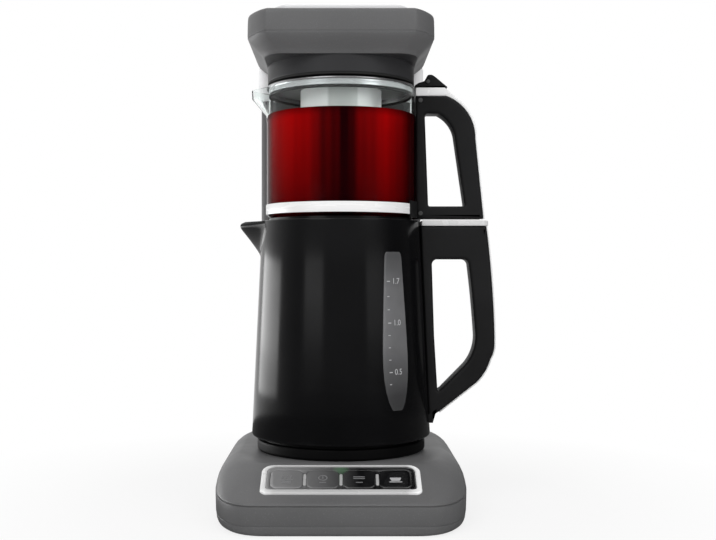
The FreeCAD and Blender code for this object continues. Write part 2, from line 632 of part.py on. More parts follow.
def make_pump():
    axis = ("pump_y", "pump_z")
    volute = fuse(
        cylinder("volute_radius", "volute_width", ("pump_face", *axis), "-x"),
        cylinder("nipple_radius", "nipple_length", ("pump_face", *axis), "x"),
        cylinder("riser_radius", "plateau_height - pump_z", ("riser_x", *axis)))
    chamber = cylinder("volute_radius - wall", "volute_width - 2 * wall", ("pump_face - wall", *axis), "-x")
    inlet = cylinder("nipple_radius - nipple_wall", "nipple_length + wall + 2 * past",
                     ("pump_face - wall - past", *axis), "x")
    outlet = cylinder("riser_radius - riser_wall", "plateau_height - pump_z + past", ("riser_x", *axis))
    shaft_hole = cylinder("shaft_radius + shaft_clearance", "wall + 2 * past",
                          ("pump_rear - past", *axis), "x")
    piece("pump_housing", cut(volute, chamber, inlet, outlet, shaft_hole))

    motor = cylinder("motor_radius", "motor_length", ("pump_rear", *axis), "-x")
    motor_bore = cylinder("shaft_radius + shaft_clearance", "motor_length / 2 + past",
                          ("pump_rear + past", *axis), "-x")
    piece("pump_motor", cut(motor, motor_bore))
    cradle = box(("pump_rear - motor_length + cradle_margin", "pump_rear - cradle_margin"),
                 ("pump_y - motor_radius / 2", "pump_y + motor_radius / 2"),
                 ("tray_floor", "pump_z - motor_radius / 2"))
    motor_bed = cylinder("motor_radius", "motor_length + 2 * past", ("pump_rear + past", *axis), "-x")
    piece("pump_cradle", cut(cradle, motor_bed))

    blades = []
    for number in range(BLADES):
        blade = doc.addObject("Part::Box", "Blade")
        bind(blade, "Length", "impeller_width")
        bind(blade, "Width", "volute_radius - wall - impeller_gap")
        bind(blade, "Height", "blade_thickness")
        blades.append(place(blade, ("impeller_start", *axis), (1, 0, 0), str(360 / BLADES * number)))
    hub = cylinder("hub_radius", "impeller_width", ("impeller_start", *axis), "x")
    bore = cylinder("shaft_radius", "motor_length", ("shaft_start", *axis), "x")
    piece("pump_impeller", cut(fuse(hub, *blades), bore))
    piece("motor_shaft", cylinder("shaft_radius", "impeller_start + impeller_width - shaft_start",
                                  ("shaft_start", *axis), "x"))


def make_dock():
    nozzle = fuse(
        cylinder("nozzle_radius", "nozzle_reach + wall", ("0", "nozzle_tip", "nozzle_height"), "y"),
        cylinder("nozzle_flange", "flange_thickness", ("0", "column_front + wall", "nozzle_height"), "y"),
        cylinder("hose_radius", "barb_length", ("0", "hose_start - barb_length", "nozzle_height"), "y"))
    bore = cylinder("nozzle_bore", "hose_start - nozzle_tip + 2 * past",
                    ("0", "nozzle_tip - past", "nozzle_height"), "y")
    piece("dock_nozzle", cut(nozzle, bore))

    block = middle_box("contact_block_width",
                       ("column_front - contact_block_proud", "column_front + wall + flange_thickness"),
                       ("contact_low", "contact_high"))
    pins = [cylinder("contact_radius", "column_front - block_face - contact_gap",
                     (f"{step} * contact_pitch", "block_face + contact_gap", "contact_height"), "y")
            for step in (-1, 0, 1)]
    piece("dock_contacts", fuse(block, *pins))

    hose("inlet_hose", [("0", "hose_start", "nozzle_height"), ("0", "pump_y", "nozzle_height"),
                        ("0", "pump_y", "pump_z"), ("pump_face + nipple_length", "pump_y", "pump_z")],
         "hose_bend", "hose_radius", "hose_bore")
    hose("riser_tube", [("riser_x", "pump_y", "plateau_height"), ("riser_x", "pump_y", "riser_top"),
                        ("0", "0", "riser_top"), ("0", "0", "shower_inlet")],
         "riser_bend", "riser_radius", "riser_radius - riser_wall")


# Head


def make_head():
    outer = lofted(("head_bottom", nose("head_inset")), ("head_bottom + knee_height", nose("knee_inset")),
                   ("head_side", nose("0")))
    inner = lofted(("head_bottom + wall", nose("head_inset", "wall")),
                   ("head_bottom + knee_height + wall / 2", nose("knee_inset", "wall")),
                   ("head_side + past", nose("0", "wall")))
    throat = cylinder("throat_radius", "3 * wall", ("0", "0", "head_bottom - wall"))
    rear_way = middle_box("head_width / 2", ("column_front - 3 * wall", "column_front + past"),
                          ("head_side - riser_rise", "head_side + past"))
    piece("head_lower_shell", cut(outer, inner, throat, rear_way))

    plan = ("head_width", "head_front", "head_back", "head_corner")
    cap = lofted(("head_side", octagon(*plan)), ("head_top - head_bevel", octagon(*plan)),
                 ("head_top", octagon(*plan, "head_bevel")))
    room = padded("XY", [octagon(*plan, "wall")], "head_height - wall + past", "head_side - past")
    piece("head_shell", cut(cap, room))
    piece("head_top_plate", padded("XY", [octagon(*plan, "top_plate_inset")], "top_plate", "head_top"))

    piece("head_neck", turned([("neck_bore", "neck_bottom"), ("neck_radius", "neck_bottom"),
                               ("neck_radius", "head_bottom"), ("neck_bore", "head_bottom")]))
    gasket_bore = "neck_radius - gasket_width"
    piece("neck_gasket", turned([(gasket_bore, "gasket_bottom"), ("neck_radius", "gasket_bottom"),
                                 ("neck_radius", "neck_bottom"), (gasket_bore, "neck_bottom")]))


def make_shower():
    inlet_bore, sole = "riser_radius - riser_wall", "shower_low + shower_sole"
    rose = turned([
        (inlet_bore, "shower_inlet"), ("shower_boss", "shower_inlet"), ("shower_boss", "shower_top"),
        ("neck_bore", "shower_top"), ("neck_bore", "shower_plate"), ("shower_radius", "shower_plate"),
        ("shower_radius", "shower_low"), ("0", "shower_low"), ("0", sole),
        ("shower_radius - shower_side", sole), ("shower_radius - shower_side", "shower_plate"),
        (inlet_bore, "shower_plate")])
    holes = []
    for radius, count in SHOWER_RINGS.items():
        for step in range(count):
            turn = 2 * math.pi * step / count
            centre = (f"{radius * math.cos(turn):.4f}", f"{radius * math.sin(turn):.4f}", "shower_low - past")
            holes.append(cylinder("shower_hole", "shower_sole + 2 * past", centre))
    piece("shower_head", cut(rose, group(holes)))


# Kettle


def kettle_radius(height, inward="0"):
    return f"(kettle_foot_radius - kettle_slope * (({height}) - kettle_foot) - ({inward}))"


def kettle_cone(inward="0"):
    low, high = (kettle_radius(height, inward) for height in ("kettle_foot", "kettle_top"))
    return cone(low, high, "kettle_foot", "kettle_top")


def window_prism(inward="0"):
    """The water window's outline, narrow at the top and widest low down, run out from the kettle's axis."""
    top, widest, foot = (f"({width}) / 2 - ({inward})"
                         for width in ("window_top_width", "window_width", "window_foot_width"))
    right = [(foot, f"window_low + ({inward})"), (widest, "window_shoulder"), (widest, "window_belly"),
             (top, f"window_high - ({inward})")]
    left = [(f"-({x})", z) for x, z in reversed(right)]
    prism = padded("XZ", [right + left], "2 * kettle_foot_radius")
    return place(prism, ("0", "0", "0"), (0, 0, 1), "window_turn")


def make_kettle():
    floor = "kettle_foot + kettle_wall"
    walls = turned([
        ("flange_radius", "kettle_foot"), ("kettle_foot_radius", "kettle_foot"),
        ("kettle_top_radius", "kettle_top"), ("kettle_bore", "kettle_top"),
        (kettle_radius(floor, "kettle_wall"), floor), ("flange_radius", floor)])
    mouth = box(("-kettle_foot_radius", "-kettle_bore + socket_radius"),
                ("-mouth_width / 2", "mouth_width / 2"),
                ("kettle_top - spout_drop + mouth_foot", "kettle_top - mouth_top"))
    socket_hole = cylinder("socket_radius", "2 * socket_depth", ("0", "socket_back", "nozzle_height"), "y")
    contact_hole = middle_box("contact_block_width",
                              ("block_face - contact_block_depth", "kettle_foot_radius + past"),
                              ("contact_low", "contact_high"))
    piece("kettle_body", cut(walls, window_prism(), mouth, socket_hole, contact_hole))

    band = cut(kettle_cone("-window_proud"), kettle_cone("kettle_wall"))
    piece("water_window", common(band, window_prism("window_fit")))

    piece("kettle_base_ring", turned([
        ("0", "plateau_height"), ("ring_radius", "plateau_height"), ("ring_radius", "ring_top"),
        ("groove_radius", "ring_top"), ("groove_radius", "kettle_foot"),
        ("groove_radius - wall", "kettle_foot"), ("groove_radius - wall", "plateau_height + wall"),
        ("0", "plateau_height + wall")]))

    piece("heater_plate", cylinder(kettle_radius("heater_top", "kettle_wall + fit"), "heater_thickness",
                                   ("0", "0", floor)))
    element = doc.addObject("Part::Torus", "Element")
    bind(element, "Radius1", "element_radius")
    bind(element, "Radius2", "element_tube")
    piece("heater_element", place(element, ("0", "0", f"{floor} - element_tube")))
    piece("boil_dry_thermostat", cylinder("thermostat_radius", "thermostat_height",
                                          ("0", "0", f"{floor} - thermostat_height")))


def make_socket():
    """The kettle's half of the dock: water socket, its valve, which the nozzle opens, and contact block."""
    centre = ("0", "socket_face", "nozzle_height")
    mouth = ("0", "socket_face + past", "nozzle_height")
    cup = cylinder("nozzle_radius + socket_clearance", "socket_recess + past", mouth, "-y")
    way = cylinder("nozzle_bore", "socket_depth + 2 * past", mouth, "-y")
    piece("dock_socket", cut(cylinder("socket_radius", "socket_depth", centre, "-y"), cup, way))

    seat, rib = "socket_back - valve_lift", ("valve_rib / 2", "nozzle_bore")
    stem = (seat, "socket_face - socket_recess")
    ribs = [box((f"-{x}", x), stem, (f"nozzle_height - {z}", f"nozzle_height + {z}"))
            for x, z in (rib, rib[::-1])]
    guide = common(fuse(*ribs), cylinder("nozzle_bore", "socket_depth", ("0", seat, "nozzle_height"), "y"))
    disc = cylinder("nozzle_bore + valve_lap", "valve_thickness", ("0", seat, "nozzle_height"), "-y")
    piece("socket_valve", fuse(disc, guide))
    piece("kettle_contacts", middle_box("contact_block_width",
                                        ("block_face - contact_block_depth", "block_face"),
                                        ("contact_low", "contact_high")))


def make_kettle_spout():
    root = kettle_radius("kettle_top - spout_drop / 2", "spout_root")
    levels = [
        ("kettle_top - spout_edge", "spout_top_reach", "spout_half_width"),
        ("kettle_top - spout_lip", "spout_reach", "spout_half_width - spout_wall"),
        ("kettle_top - spout_throat", "spout_throat_reach", "spout_throat_half"),
        ("kettle_top - spout_drop", f"{kettle_radius('kettle_top - spout_drop')} + spout_root_reach",
         "spout_half_width / 4"),
    ]
    heights = ["kettle_top + past", "kettle_top - spout_lip", "kettle_top - spout_throat + spout_wall"]
    outer = lofted(*[(z, wedge(tip, half, root)) for z, tip, half in levels])
    inner = lofted(*[(z, wedge(f"{tip} - spout_tip_wall", f"{half} - spout_side_wall", root))
                     for z, (_, tip, half) in zip(heights, levels)])
    piece("kettle_spout", cut(outer, inner, kettle_cone()))

    low, face = "kettle_top - filter_drop", "-(kettle_bore - filter_inset)"
    mesh = box((face, f"{face} + filter_thickness"), ("-filter_width / 2", "filter_width / 2"),
               (low, f"{low} + filter_height"))
    slots = [box((f"{face} - past", f"{face} + filter_thickness + past"),
                 (f"{step} * slot_pitch - slot_width / 2", f"{step} * slot_pitch + slot_width / 2"),
                 (f"{low} + slot_width + {rank} * slot_pitch",
                  f"{low} + 2 * slot_width + {rank} * slot_pitch"))
             for step in (-2, -1, 0, 1, 2) for rank in range(4)]
    piece("spout_filter", cut(mesh, group(slots)))


def make_kettle_lid():
    """Lid that the jug stands on, its seal, and the rim behind it that the jug is pushed against."""
    seal_bore, seal_top = "(lid_radius - seal_thickness)", "lid_low + seal_height"
    piece("kettle_lid", turned([
        ("steam_hole", "lid_low"), (seal_bore, "lid_low"), (seal_bore, seal_top), ("lid_radius", seal_top),
        ("lid_radius", "kettle_top"), ("seat_outer", "kettle_top"), ("seat_outer", "jug_bottom"),
        ("seat_inner", "jug_bottom"), ("seat_inner", "kettle_top"), ("steam_hole", "kettle_top")]))
    piece("lid_seal", turned([(seal_bore, "lid_low"), ("kettle_bore", "lid_low"), ("kettle_bore", seal_top),
                              (seal_bore, seal_top)]))
    rim_bore, rim_top = "band_radius + rim_gap", "kettle_top + rim_height"
    rim = turned([(rim_bore, "kettle_top"), ("kettle_top_radius", "kettle_top"),
                  ("kettle_top_radius", rim_top), (rim_bore, rim_top)])
    ahead = middle_box("2 * kettle_foot_radius", ("-kettle_foot_radius", "rim_start"),
                       ("kettle_top - past", f"{rim_top} + past"))
    piece("jug_stop_rim", cut(rim, ahead))


def from_foot(reach):
    """A distance from the kettle's axis, given as its reach beyond the kettle's foot."""
    return f"(kettle_foot_radius + ({reach}))"


def below_top(drop):
    return f"(kettle_top - ({drop}))"


def make_kettle_handle():
    top, middle = below_top("grip_top_drop"), below_top("grip_mid_drop")
    belly, foot = below_top("grip_belly_drop"), below_top("grip_drop")
    outer, outer_top = from_foot("grip_reach"), from_foot("grip_top_reach")
    elbow = (from_foot("elbow_reach"), below_top("elbow_drop"))
    heel = (from_foot("heel_reach"), below_top("heel_drop"))
    grip = [
        ("kettle_top_radius - spout_root", top), (from_foot("-grip_root"), foot),
        (from_foot("-past"), foot), heel, (*elbow, "elbow_radius"),
        (outer, belly), (outer, middle, "grip_sweep"), (outer_top, top),
    ]
    hand_gap = [
        (from_foot("spine_top"), below_top("gap_top_drop")), (from_foot("spine_mid"), middle),
        (from_foot("spine_low"), below_top("gap_drop")),
        (from_foot("spine_low + gap_corner"), below_top("gap_drop - gap_corner_rise")),
        (from_foot("gap_elbow_reach"), below_top("gap_elbow_drop"), "gap_elbow_radius"),
        (from_foot("grip_reach - grip_thickness"), middle, "grip_sweep"),
        (from_foot("gap_top_reach"), below_top("gap_top_drop")),
    ]
    body = padded("XZ", [grip, hand_gap], "handle_width", symmetric=True)
    piece("kettle_handle", cut(body, kettle_cone()))

    low_heel, low_elbow = ((f"{x} + trim * trim_across", f"{z} - trim * trim_down") for x, z in (heel, elbow))
    strip = [
        heel, low_heel, (*low_elbow, "elbow_radius + trim"), (f"{outer} + trim", belly),
        (f"{outer} + trim", middle, "grip_sweep"), (f"{outer_top} + trim", top),
        (outer_top, top, "-grip_sweep"), (outer, middle), (outer, belly, "-elbow_radius"), elbow,
    ]
    piece("kettle_handle_trim", padded("XZ", [strip], "trim_width", symmetric=True))
    piece("kettle_handle_plate", box(("kettle_top_radius + plate_gap", from_foot("plate_reach")),
                                     ("-handle_width / 2", "handle_width / 2"),
                                     (top, "kettle_top + plate_gap")))


# Jug


def make_jug():
    floor, low, high = "jug_bottom + glass_floor", "glass_top - jug_spout_drop", "glass_top - jug_spout_top"
    walls = turned([
        ("0", "jug_bottom"), ("glass_radius - glass_heel", "jug_bottom"),
        ("glass_radius", "jug_bottom + glass_heel"), ("glass_radius", "glass_top"),
        ("glass_bore", "glass_top"), ("glass_bore", f"{floor} + glass_heel"),
        ("glass_bore - glass_heel", floor), ("0", floor)])
    root = "glass_bore - jug_spout_root"
    foot = ("glass_radius + jug_spout_foot", "jug_spout_half_width / 3")
    tip = ("glass_radius + jug_spout_reach", "jug_spout_half_width")
    lip = lofted((low, wedge(*foot, root)), (high, wedge(*tip, root)))
    inner_foot, inner_tip = ([f"{size} - glass_wall" for size in end] for end in (foot, tip))
    channel = lofted((f"{low} + glass_wall", wedge(*inner_foot, root)),
                     (f"{high} + channel_rise", wedge(*inner_tip, root)))
    bore = cylinder("glass_bore", "glass_height", ("0", "0", f"{floor} + glass_heel"))
    piece("jug_glass", cut(fuse(walls, lip), channel, bore))

    side = ("-glass_radius", "-glass_radius / 2")
    sieve = cut(cylinder("glass_bore", "jug_spout_drop - jug_spout_top", ("0", "0", low)),
                cylinder("glass_bore - strainer_thickness", "jug_spout_drop", ("0", "0", f"{low} - past")))
    front = box(side, ("-strainer_width / 2", "strainer_width / 2"), (low, f"{high} - strainer_drop"))
    slots = [box(side, (f"{step} * mesh_pitch - mesh_slot / 2", f"{step} * mesh_pitch + mesh_slot / 2"),
                 (f"{low} + ({rank} + 0.5) * mesh_pitch", f"{low} + ({rank} + 0.5) * mesh_pitch + mesh_slot"))
             for step in (-2, -1, 0, 1, 2) for rank in range(3)]
    piece("spout_strainer", cut(common(sieve, front), group(slots)))

    band_low, band_top = "jug_bottom + band_rise", "jug_bottom + band_rise + band_height"
    piece("jug_band", turned([("glass_radius", band_low), ("band_radius", band_low),
                              ("band_radius", band_top), ("glass_radius", band_top)]))


def from_glass(reach):
    return f"(glass_radius + ({reach}))"


def make_jug_handle():
    low, top = "jug_bottom", "jug_grip_top"
    shoulder, foot = (from_glass("jug_shoulder_reach"), top), from_glass("jug_foot_reach")
    elbow = (from_glass("jug_elbow_reach"), f"{top} - jug_elbow_drop")
    grip = [(from_glass("-jug_root"), low), (foot, low), (*elbow, "jug_elbow_radius"), shoulder,
            (from_glass("-jug_root"), top)]
    gap_low, gap_top = f"{low} + jug_foot_thickness", f"{top} - jug_bar_thickness"
    hand_gap = [
        (from_glass("jug_spine_low"), gap_low), (f"{foot} - jug_bar_thickness", gap_low),
        (f"{elbow[0]} - jug_grip_thickness", elbow[1], "jug_gap_radius"),
        (from_glass("jug_gap_reach"), gap_top), (from_glass("jug_spine"), gap_top),
    ]
    body = padded("XZ", [grip, hand_gap], "jug_handle_width", symmetric=True)
    glass = cylinder("glass_radius", "glass_height + 2 * past", ("0", "0", "jug_bottom - past"))
    band = cylinder("band_radius", "band_height", ("0", "0", "jug_bottom + band_rise"))
    piece("jug_handle", cut(body, glass, band))

    strip = [
        (from_glass("jug_trim_start"), top), (*shoulder, "-jug_elbow_radius"), elbow, (foot, low),
        (f"{foot} + trim", low), (f"{elbow[0]} + trim", elbow[1], "jug_trim_bend"),
        (f"{shoulder[0]} + jug_trim_tail", f"{top} - tongue_thickness"),
        (f"{shoulder[0]} - past", "lever_low"), (from_glass("jug_trim_start"), "lever_low"),
    ]
    sides = ("-ear_outside", "-ear_outside + ear_thickness"), ("ear_outside - ear_thickness", "ear_outside")
    ears = [box(("pin_x - ear_half_length", "pin_x + ear_half_length"), side,
                ("lever_low - past", "pin_z + ear_rise"))
            for side in sides]
    piece("jug_handle_trim",
          cut(fuse(padded("XZ", [strip], "trim_width", symmetric=True), *ears), pin_hole()))
    piece("jug_handle_screws", group(
        cylinder("side_screw_radius", "side_screw_head",
                 (from_glass("side_screw_inset"), "-jug_handle_width / 2 - side_screw_head", z), "y")
        for z in (f"{top} - side_screw_inset", f"{low} + side_screw_rise")))


def pin_hole():
    return cylinder("pin_radius", "2 * lever_width", ("pin_x", "-lever_width", "pin_z"), "y")


def make_lever():
    peak, neck = "lever_low + lever_height", "lever_low + lever_height / 3"
    tongue = "cap_top + tongue_thickness"
    start, tongue_tip = from_glass("lever_start"), from_glass("lever_start - tongue_length")
    profile = [
        (start, "lever_low"), (from_glass("lever_tip"), "lever_low"),
        ("pin_x + lever_fall", f"{peak} - lever_round"), ("pin_x + lever_peak", peak), ("pin_x", peak),
        ("pin_x - ear_rise", f"{neck} + lever_step"), (start, neck),
        (start, tongue), (tongue_tip, tongue), (tongue_tip, "cap_top"), (start, "cap_top"),
    ]
    piece("lid_lever", cut(padded("XZ", [profile], "lever_width", symmetric=True), pin_hole()))
    piece("lid_hinge_pin", cylinder("pin_radius", "2 * ear_outside", ("pin_x", "-ear_outside", "pin_z"), "y"))


def make_jug_lid():
    plug, drip = "glass_bore - fit", "cap_hole + drip_wall"
    piece("jug_lid", turned([
        ("cap_hole", "glass_top - drip_length"), (drip, "glass_top - drip_length"), (drip, "glass_top"),
        (f"{plug} - cap_rim", "glass_top"), (f"{plug} - cap_rim", "glass_top - cap_plug"),
        (plug, "glass_top - cap_plug"), (plug, "glass_top"), ("glass_radius", "glass_top"),
        ("glass_radius", "cap_top"), ("cap_hole", "cap_top")]))


make_tray()
make_cover()
make_supply()
make_panel()
make_column()
make_pump()
make_dock()
make_head()
make_shower()
make_kettle()
make_socket()
make_kettle_spout()
make_kettle_lid()
make_kettle_handle()
make_jug()
make_jug_handle()
make_lever()
make_jug_lid()

doc.recompute()
failed = [obj.Label for obj in doc.Objects if {"Invalid", "Error"} & set(obj.State)]
failed += [obj.Label for obj in pieces if obj.Shape.isNull() or not obj.Shape.isValid()]
if failed:
    raise RuntimeError("not built: " + ", ".join(failed))
os.makedirs("parts", exist_ok=True)
for obj in pieces:
    obj.Shape.exportStep(os.path.join("parts", obj.Label + ".step"))
print(len(pieces), "sub-parts")
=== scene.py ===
"""Automatic tea maker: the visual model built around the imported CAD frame, its materials, stage, lights and camera."""

from math import atan2, copysign, cos, hypot, pi, radians, sin, sqrt, tan
from types import SimpleNamespace as Sizes

import bmesh
import bpy
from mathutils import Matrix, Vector


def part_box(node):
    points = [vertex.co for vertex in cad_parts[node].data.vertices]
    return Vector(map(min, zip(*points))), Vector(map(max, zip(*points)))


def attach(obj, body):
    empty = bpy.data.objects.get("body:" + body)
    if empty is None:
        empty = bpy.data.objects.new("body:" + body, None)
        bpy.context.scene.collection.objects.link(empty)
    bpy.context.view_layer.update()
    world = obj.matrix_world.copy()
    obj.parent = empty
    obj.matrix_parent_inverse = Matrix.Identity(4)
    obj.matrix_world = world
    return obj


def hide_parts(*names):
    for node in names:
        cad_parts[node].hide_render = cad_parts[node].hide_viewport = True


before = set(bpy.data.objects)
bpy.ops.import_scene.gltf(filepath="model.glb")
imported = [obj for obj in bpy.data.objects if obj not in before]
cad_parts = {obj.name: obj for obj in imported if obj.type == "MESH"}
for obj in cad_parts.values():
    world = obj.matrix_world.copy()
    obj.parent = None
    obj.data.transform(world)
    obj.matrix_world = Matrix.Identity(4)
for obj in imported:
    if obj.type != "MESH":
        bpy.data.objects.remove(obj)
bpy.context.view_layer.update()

MM = 0.001
neck_low, neck_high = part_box("head_neck")
AXIS_X = (neck_low.x + neck_high.x) / 2

# ---------------- shapes
# Sizes below are in millimetres, with the kettle's axis at x = 0 and y = 0.

NEARLY_STRAIGHT = radians(88)  # a corner whose half angle is wider than this isn't rounded
SIDE_SHARE = 0.48  # the most of a side that one rounding takes up
LEAST_OPENING = 0.35  # keeps an inset from running away at a sharp corner
ON_AXIS = 1e-6


def place(point):
    """A point in millimetres about the kettle's axis, in the frame's metres."""
    return Vector((point[0] * MM + AXIS_X, point[1] * MM, point[2] * MM))


def middle(box):
    """The centre of a CAD node's box as x, y and z, in millimetres about the kettle's axis."""
    low, high = box
    return tuple(v / MM for v in ((low.x + high.x) / 2 - AXIS_X, (low.y + high.y) / 2, (low.z + high.z) / 2))


def read_off(table, key):
    """The value for a key in a table of (key, value) rows, in proportion between two rows."""
    for (k0, v0), (k1, v1) in zip(table, table[1:]):
        if k0 <= key <= k1:
            return v0 + (v1 - v0) * (key - k0) / (k1 - k0)
    return table[-1][1]


def turned(arm, angle):
    """An arm's end, turned about its foot."""
    return arm.x * cos(angle) - arm.y * sin(angle), arm.x * sin(angle) + arm.y * cos(angle)


def arc(start, end, radius, steps=14):
    """Points after start along an arc to end, bulging to the right of its way, or left if radius is negative."""
    a, b = Vector(start), Vector(end)
    chord = b - a
    left = Vector((-chord.y, chord.x)).normalized() * (1 if radius > 0 else -1)
    centre = (a + b) / 2 + left * sqrt(max(radius * radius - chord.length_squared / 4, 0))
    arm = a - centre
    turn = arm.angle_signed(b - centre)
    ends = [turned(arm, -turn * step / steps) for step in range(1, steps)]
    return [(centre.x + x, centre.y + y) for x, y in ends]


def soften(points, steps=6, closed=True):
    """An outline from (a, b), (a, b, rounding) or (a, b, rounding, arc radius to the next) points."""
    count = len(points)
    corners = []
    for i, point in enumerate(points):
        here = Vector(point[:2])
        radius = point[2] if len(point) > 2 else 0
        at_end = not closed and i in (0, count - 1)
        if radius <= 0 or at_end:
            corners.append([here])
            continue
        u, v = Vector(points[i - 1][:2]) - here, Vector(points[(i + 1) % count][:2]) - here
        longest = min(u.length, v.length) * SIDE_SHARE
        u.normalize()
        v.normalize()
        half = u.angle(v) / 2
        if half > NEARLY_STRAIGHT:
            corners.append([here])
            continue
        reach = min(radius / tan(half), longest)
        radius = reach * tan(half)
        centre = here + (u + v).normalized() * (radius / sin(half))
        first, last = here + u * reach - centre, here + v * reach - centre
        turn = first.angle_signed(last)
        corners.append([centre + Vector(turned(first, -turn * step / steps)) for step in range(steps + 1)])
    outline = []
    for i, run in enumerate(corners):
        outline.extend((p.x, p.y) for p in run)
        if len(points[i]) > 3:
            outline.extend(arc(run[-1], corners[(i + 1) % count][0], points[i][3]))
    return outline


def box_outline(left, low, right, high, rounding, steps=6):
    """A rectangle with rounded corners."""
    corners = ((left, low), (right, low), (right, high), (left, high))
    return soften([(*corner, rounding) for corner in corners], steps)


def bar(x, y, half_width, half_height, rounding=0.35):
    """A small rounded rectangle about a point."""
    return box_outline(x - half_width, y - half_height, x + half_width, y + half_height, rounding, 3)


def ring_outline(x, y, radius, count=28):
    """A circle about a point."""
    turns = [2 * pi * k / count for k in range(count)]
    return [(x + radius * cos(turn), y + radius * sin(turn)) for turn in turns]


def area(outline):
    """An outline's area, below zero where it runs clockwise."""
    return sum(a[0] * b[1] - b[0] * a[1] for a, b in zip(outline, outline[1:] + outline[:1])) / 2


def inset(outline, by):
    """The outline moved to the left of its way."""
    moved = []
    count = len(outline)
    for i in range(count):
        a, b, c = (Vector(outline[(i + k) % count]) for k in (-1, 0, 1))
        along, onward = (b - a).normalized(), (c - b).normalized()
        one, two = Vector((-along.y, along.x)), Vector((-onward.y, onward.x))
        shift = (one + two) / max(1 + one.dot(two), LEAST_OPENING)
        moved.append((b.x + shift.x * by, b.y + shift.y * by))
    return moved


def rim_rows(depth, rounding, steps):
    """(inset, height) pairs up one side of a slab with both its edges rounded."""
    low, high = rounding if isinstance(rounding, tuple) else (rounding, rounding)
    angles = [pi / 2 * step / steps for step in range(steps + 1)]
    return ([(low * (1 - sin(a)), low * (1 - cos(a))) for a in angles]
            + [(high * (1 - cos(a)), depth - high * (1 - sin(a))) for a in angles])


def rounded_plan(half_width, front, back, front_corner, back_corner, height, power, steps=14, straight=9):
    """Points round a plan with long corners, at a height. They are elliptic at a power of 2, and fuller above it."""
    corners = []
    for side, end, (rx, ry), start in ((1, "front", front_corner, 0), (-1, "front", front_corner, -90),
                                       (-1, "back", back_corner, 180), (1, "back", back_corner, 90)):
        cx, cy = side * (half_width - rx), front + ry if end == "front" else back - ry
        corner = []
        for step in range(steps + 1):
            angle = radians(start - 90 * step / steps)
            c, s = cos(angle), sin(angle)
            corner.append((cx + rx * copysign(abs(c) ** (2 / power), c),
                           cy + ry * copysign(abs(s) ** (2 / power), s)))
        corners.append(corner)
    points = []
    for corner, following in zip(corners, corners[1:] + corners[:1]):
        (x0, y0), (x1, y1) = corner[-1], following[0]
        shares = [step / straight for step in range(1, straight)]
        points += corner + [(x0 + (x1 - x0) * t, y0 + (y1 - y0) * t) for t in shares]
    return [(x, y, height) for x, y in points]


def across_y(u, v, w):
    """Stands a slab up: its outline lies across the object, and its thickness runs along y."""
    return (u, w, v)


def bridge(mesh, levels, closed=False):
    """Faces between each loop of vertices and the next. One loop of a pair may be a single point."""
    for below, above in zip(levels, levels[1:] + levels[:1] if closed else levels[1:]):
        for i in range(max(len(below), len(above))):
            corners = [loop[k % len(loop)] for loop, k in ((below, i), (below, i + 1), (above, i + 1), (above, i))]
            mesh.faces.new(list(dict.fromkeys(corners)))


def sheet(rows):
    """Mesh of faces between open rows of points."""
    mesh = bmesh.new()
    levels = [[mesh.verts.new(point) for point in row] for row in rows]
    for low, high in zip(levels, levels[1:]):
        for corners in zip(low, low[1:], high[1:], high):
            mesh.faces.new(corners)
    return mesh


def slab(loops, low, high, rounding, to=lambda u, v, w: (u, v, w), steps=4):
    """Mesh of a flat body with holes: the first loop is the outside. Its edges are rounded."""
    mesh = bmesh.new()
    rows = rim_rows(high - low, rounding, steps)
    ends = ([], [])
    for number, loop in enumerate(loops):
        outside = area(loop) > 0
        if outside != (number == 0):
            loop = loop[::-1]
        levels = [[mesh.verts.new((u, v, low + height)) for u, v in inset(loop, by)] for by, height in rows]
        bridge(mesh, levels)
        for end, level in zip(ends, (levels[0], levels[-1])):
            end.extend(mesh.edges.get((level[i], level[(i + 1) % len(loop)])) for i in range(len(loop)))
    for end in ends:
        bmesh.ops.triangle_fill(mesh, use_beauty=True, use_dissolve=False, edges=end)
    for vertex in mesh.verts:
        vertex.co = Vector(to(*vertex.co))
    bmesh.ops.recalc_face_normals(mesh, faces=mesh.faces)
    return mesh


def loft(rows, ring=False, capped=True):
    """Mesh through closed rows of points. Its ends are capped, or joined into a ring, or left open."""
    mesh = bmesh.new()
    levels = [[mesh.verts.new(point) for point in row] for row in rows]
    bridge(mesh, levels, ring)
    if capped and not ring:
        mesh.faces.new(levels[0][::-1])
        mesh.faces.new(levels[-1])
    bmesh.ops.recalc_face_normals(mesh, faces=mesh.faces)
    return mesh


def lathe(profile, segments=160, closed=False):
    """Mesh of a profile of (radius, height) points turned about the kettle's axis."""
    turns = [2 * pi * i / segments for i in range(segments)]
    rows = [[(radius * cos(turn), radius * sin(turn), height) for turn in (turns if radius > ON_AXIS else [0])]
            for radius, height in profile]
    return loft(rows, closed, capped=False)


def join(*meshes):
    """One mesh from several."""
    whole = meshes[0]
    for other in meshes[1:]:
        data = bpy.data.meshes.new("part")
        other.to_mesh(data)
        other.free()
        whole.from_mesh(data)
        bpy.data.meshes.remove(data)
    return whole


def linked(name, data):
    """A new object in the scene."""
    obj = bpy.data.objects.new(name, data)
    bpy.context.scene.collection.objects.link(obj)
    return obj


def placed(name, mesh):
    """A new object in the scene, from a mesh in millimetres."""
    for vertex in mesh.verts:
        vertex.co = place(vertex.co)
    data = bpy.data.meshes.new(name)
    mesh.to_mesh(data)
    mesh.free()
    return linked(name, data)


def settled(obj):
    """A new mesh of an object, with what its modifiers do."""
    bpy.context.view_layer.update()
    return bpy.data.meshes.new_from_object(obj.evaluated_get(bpy.context.evaluated_depsgraph_get()))


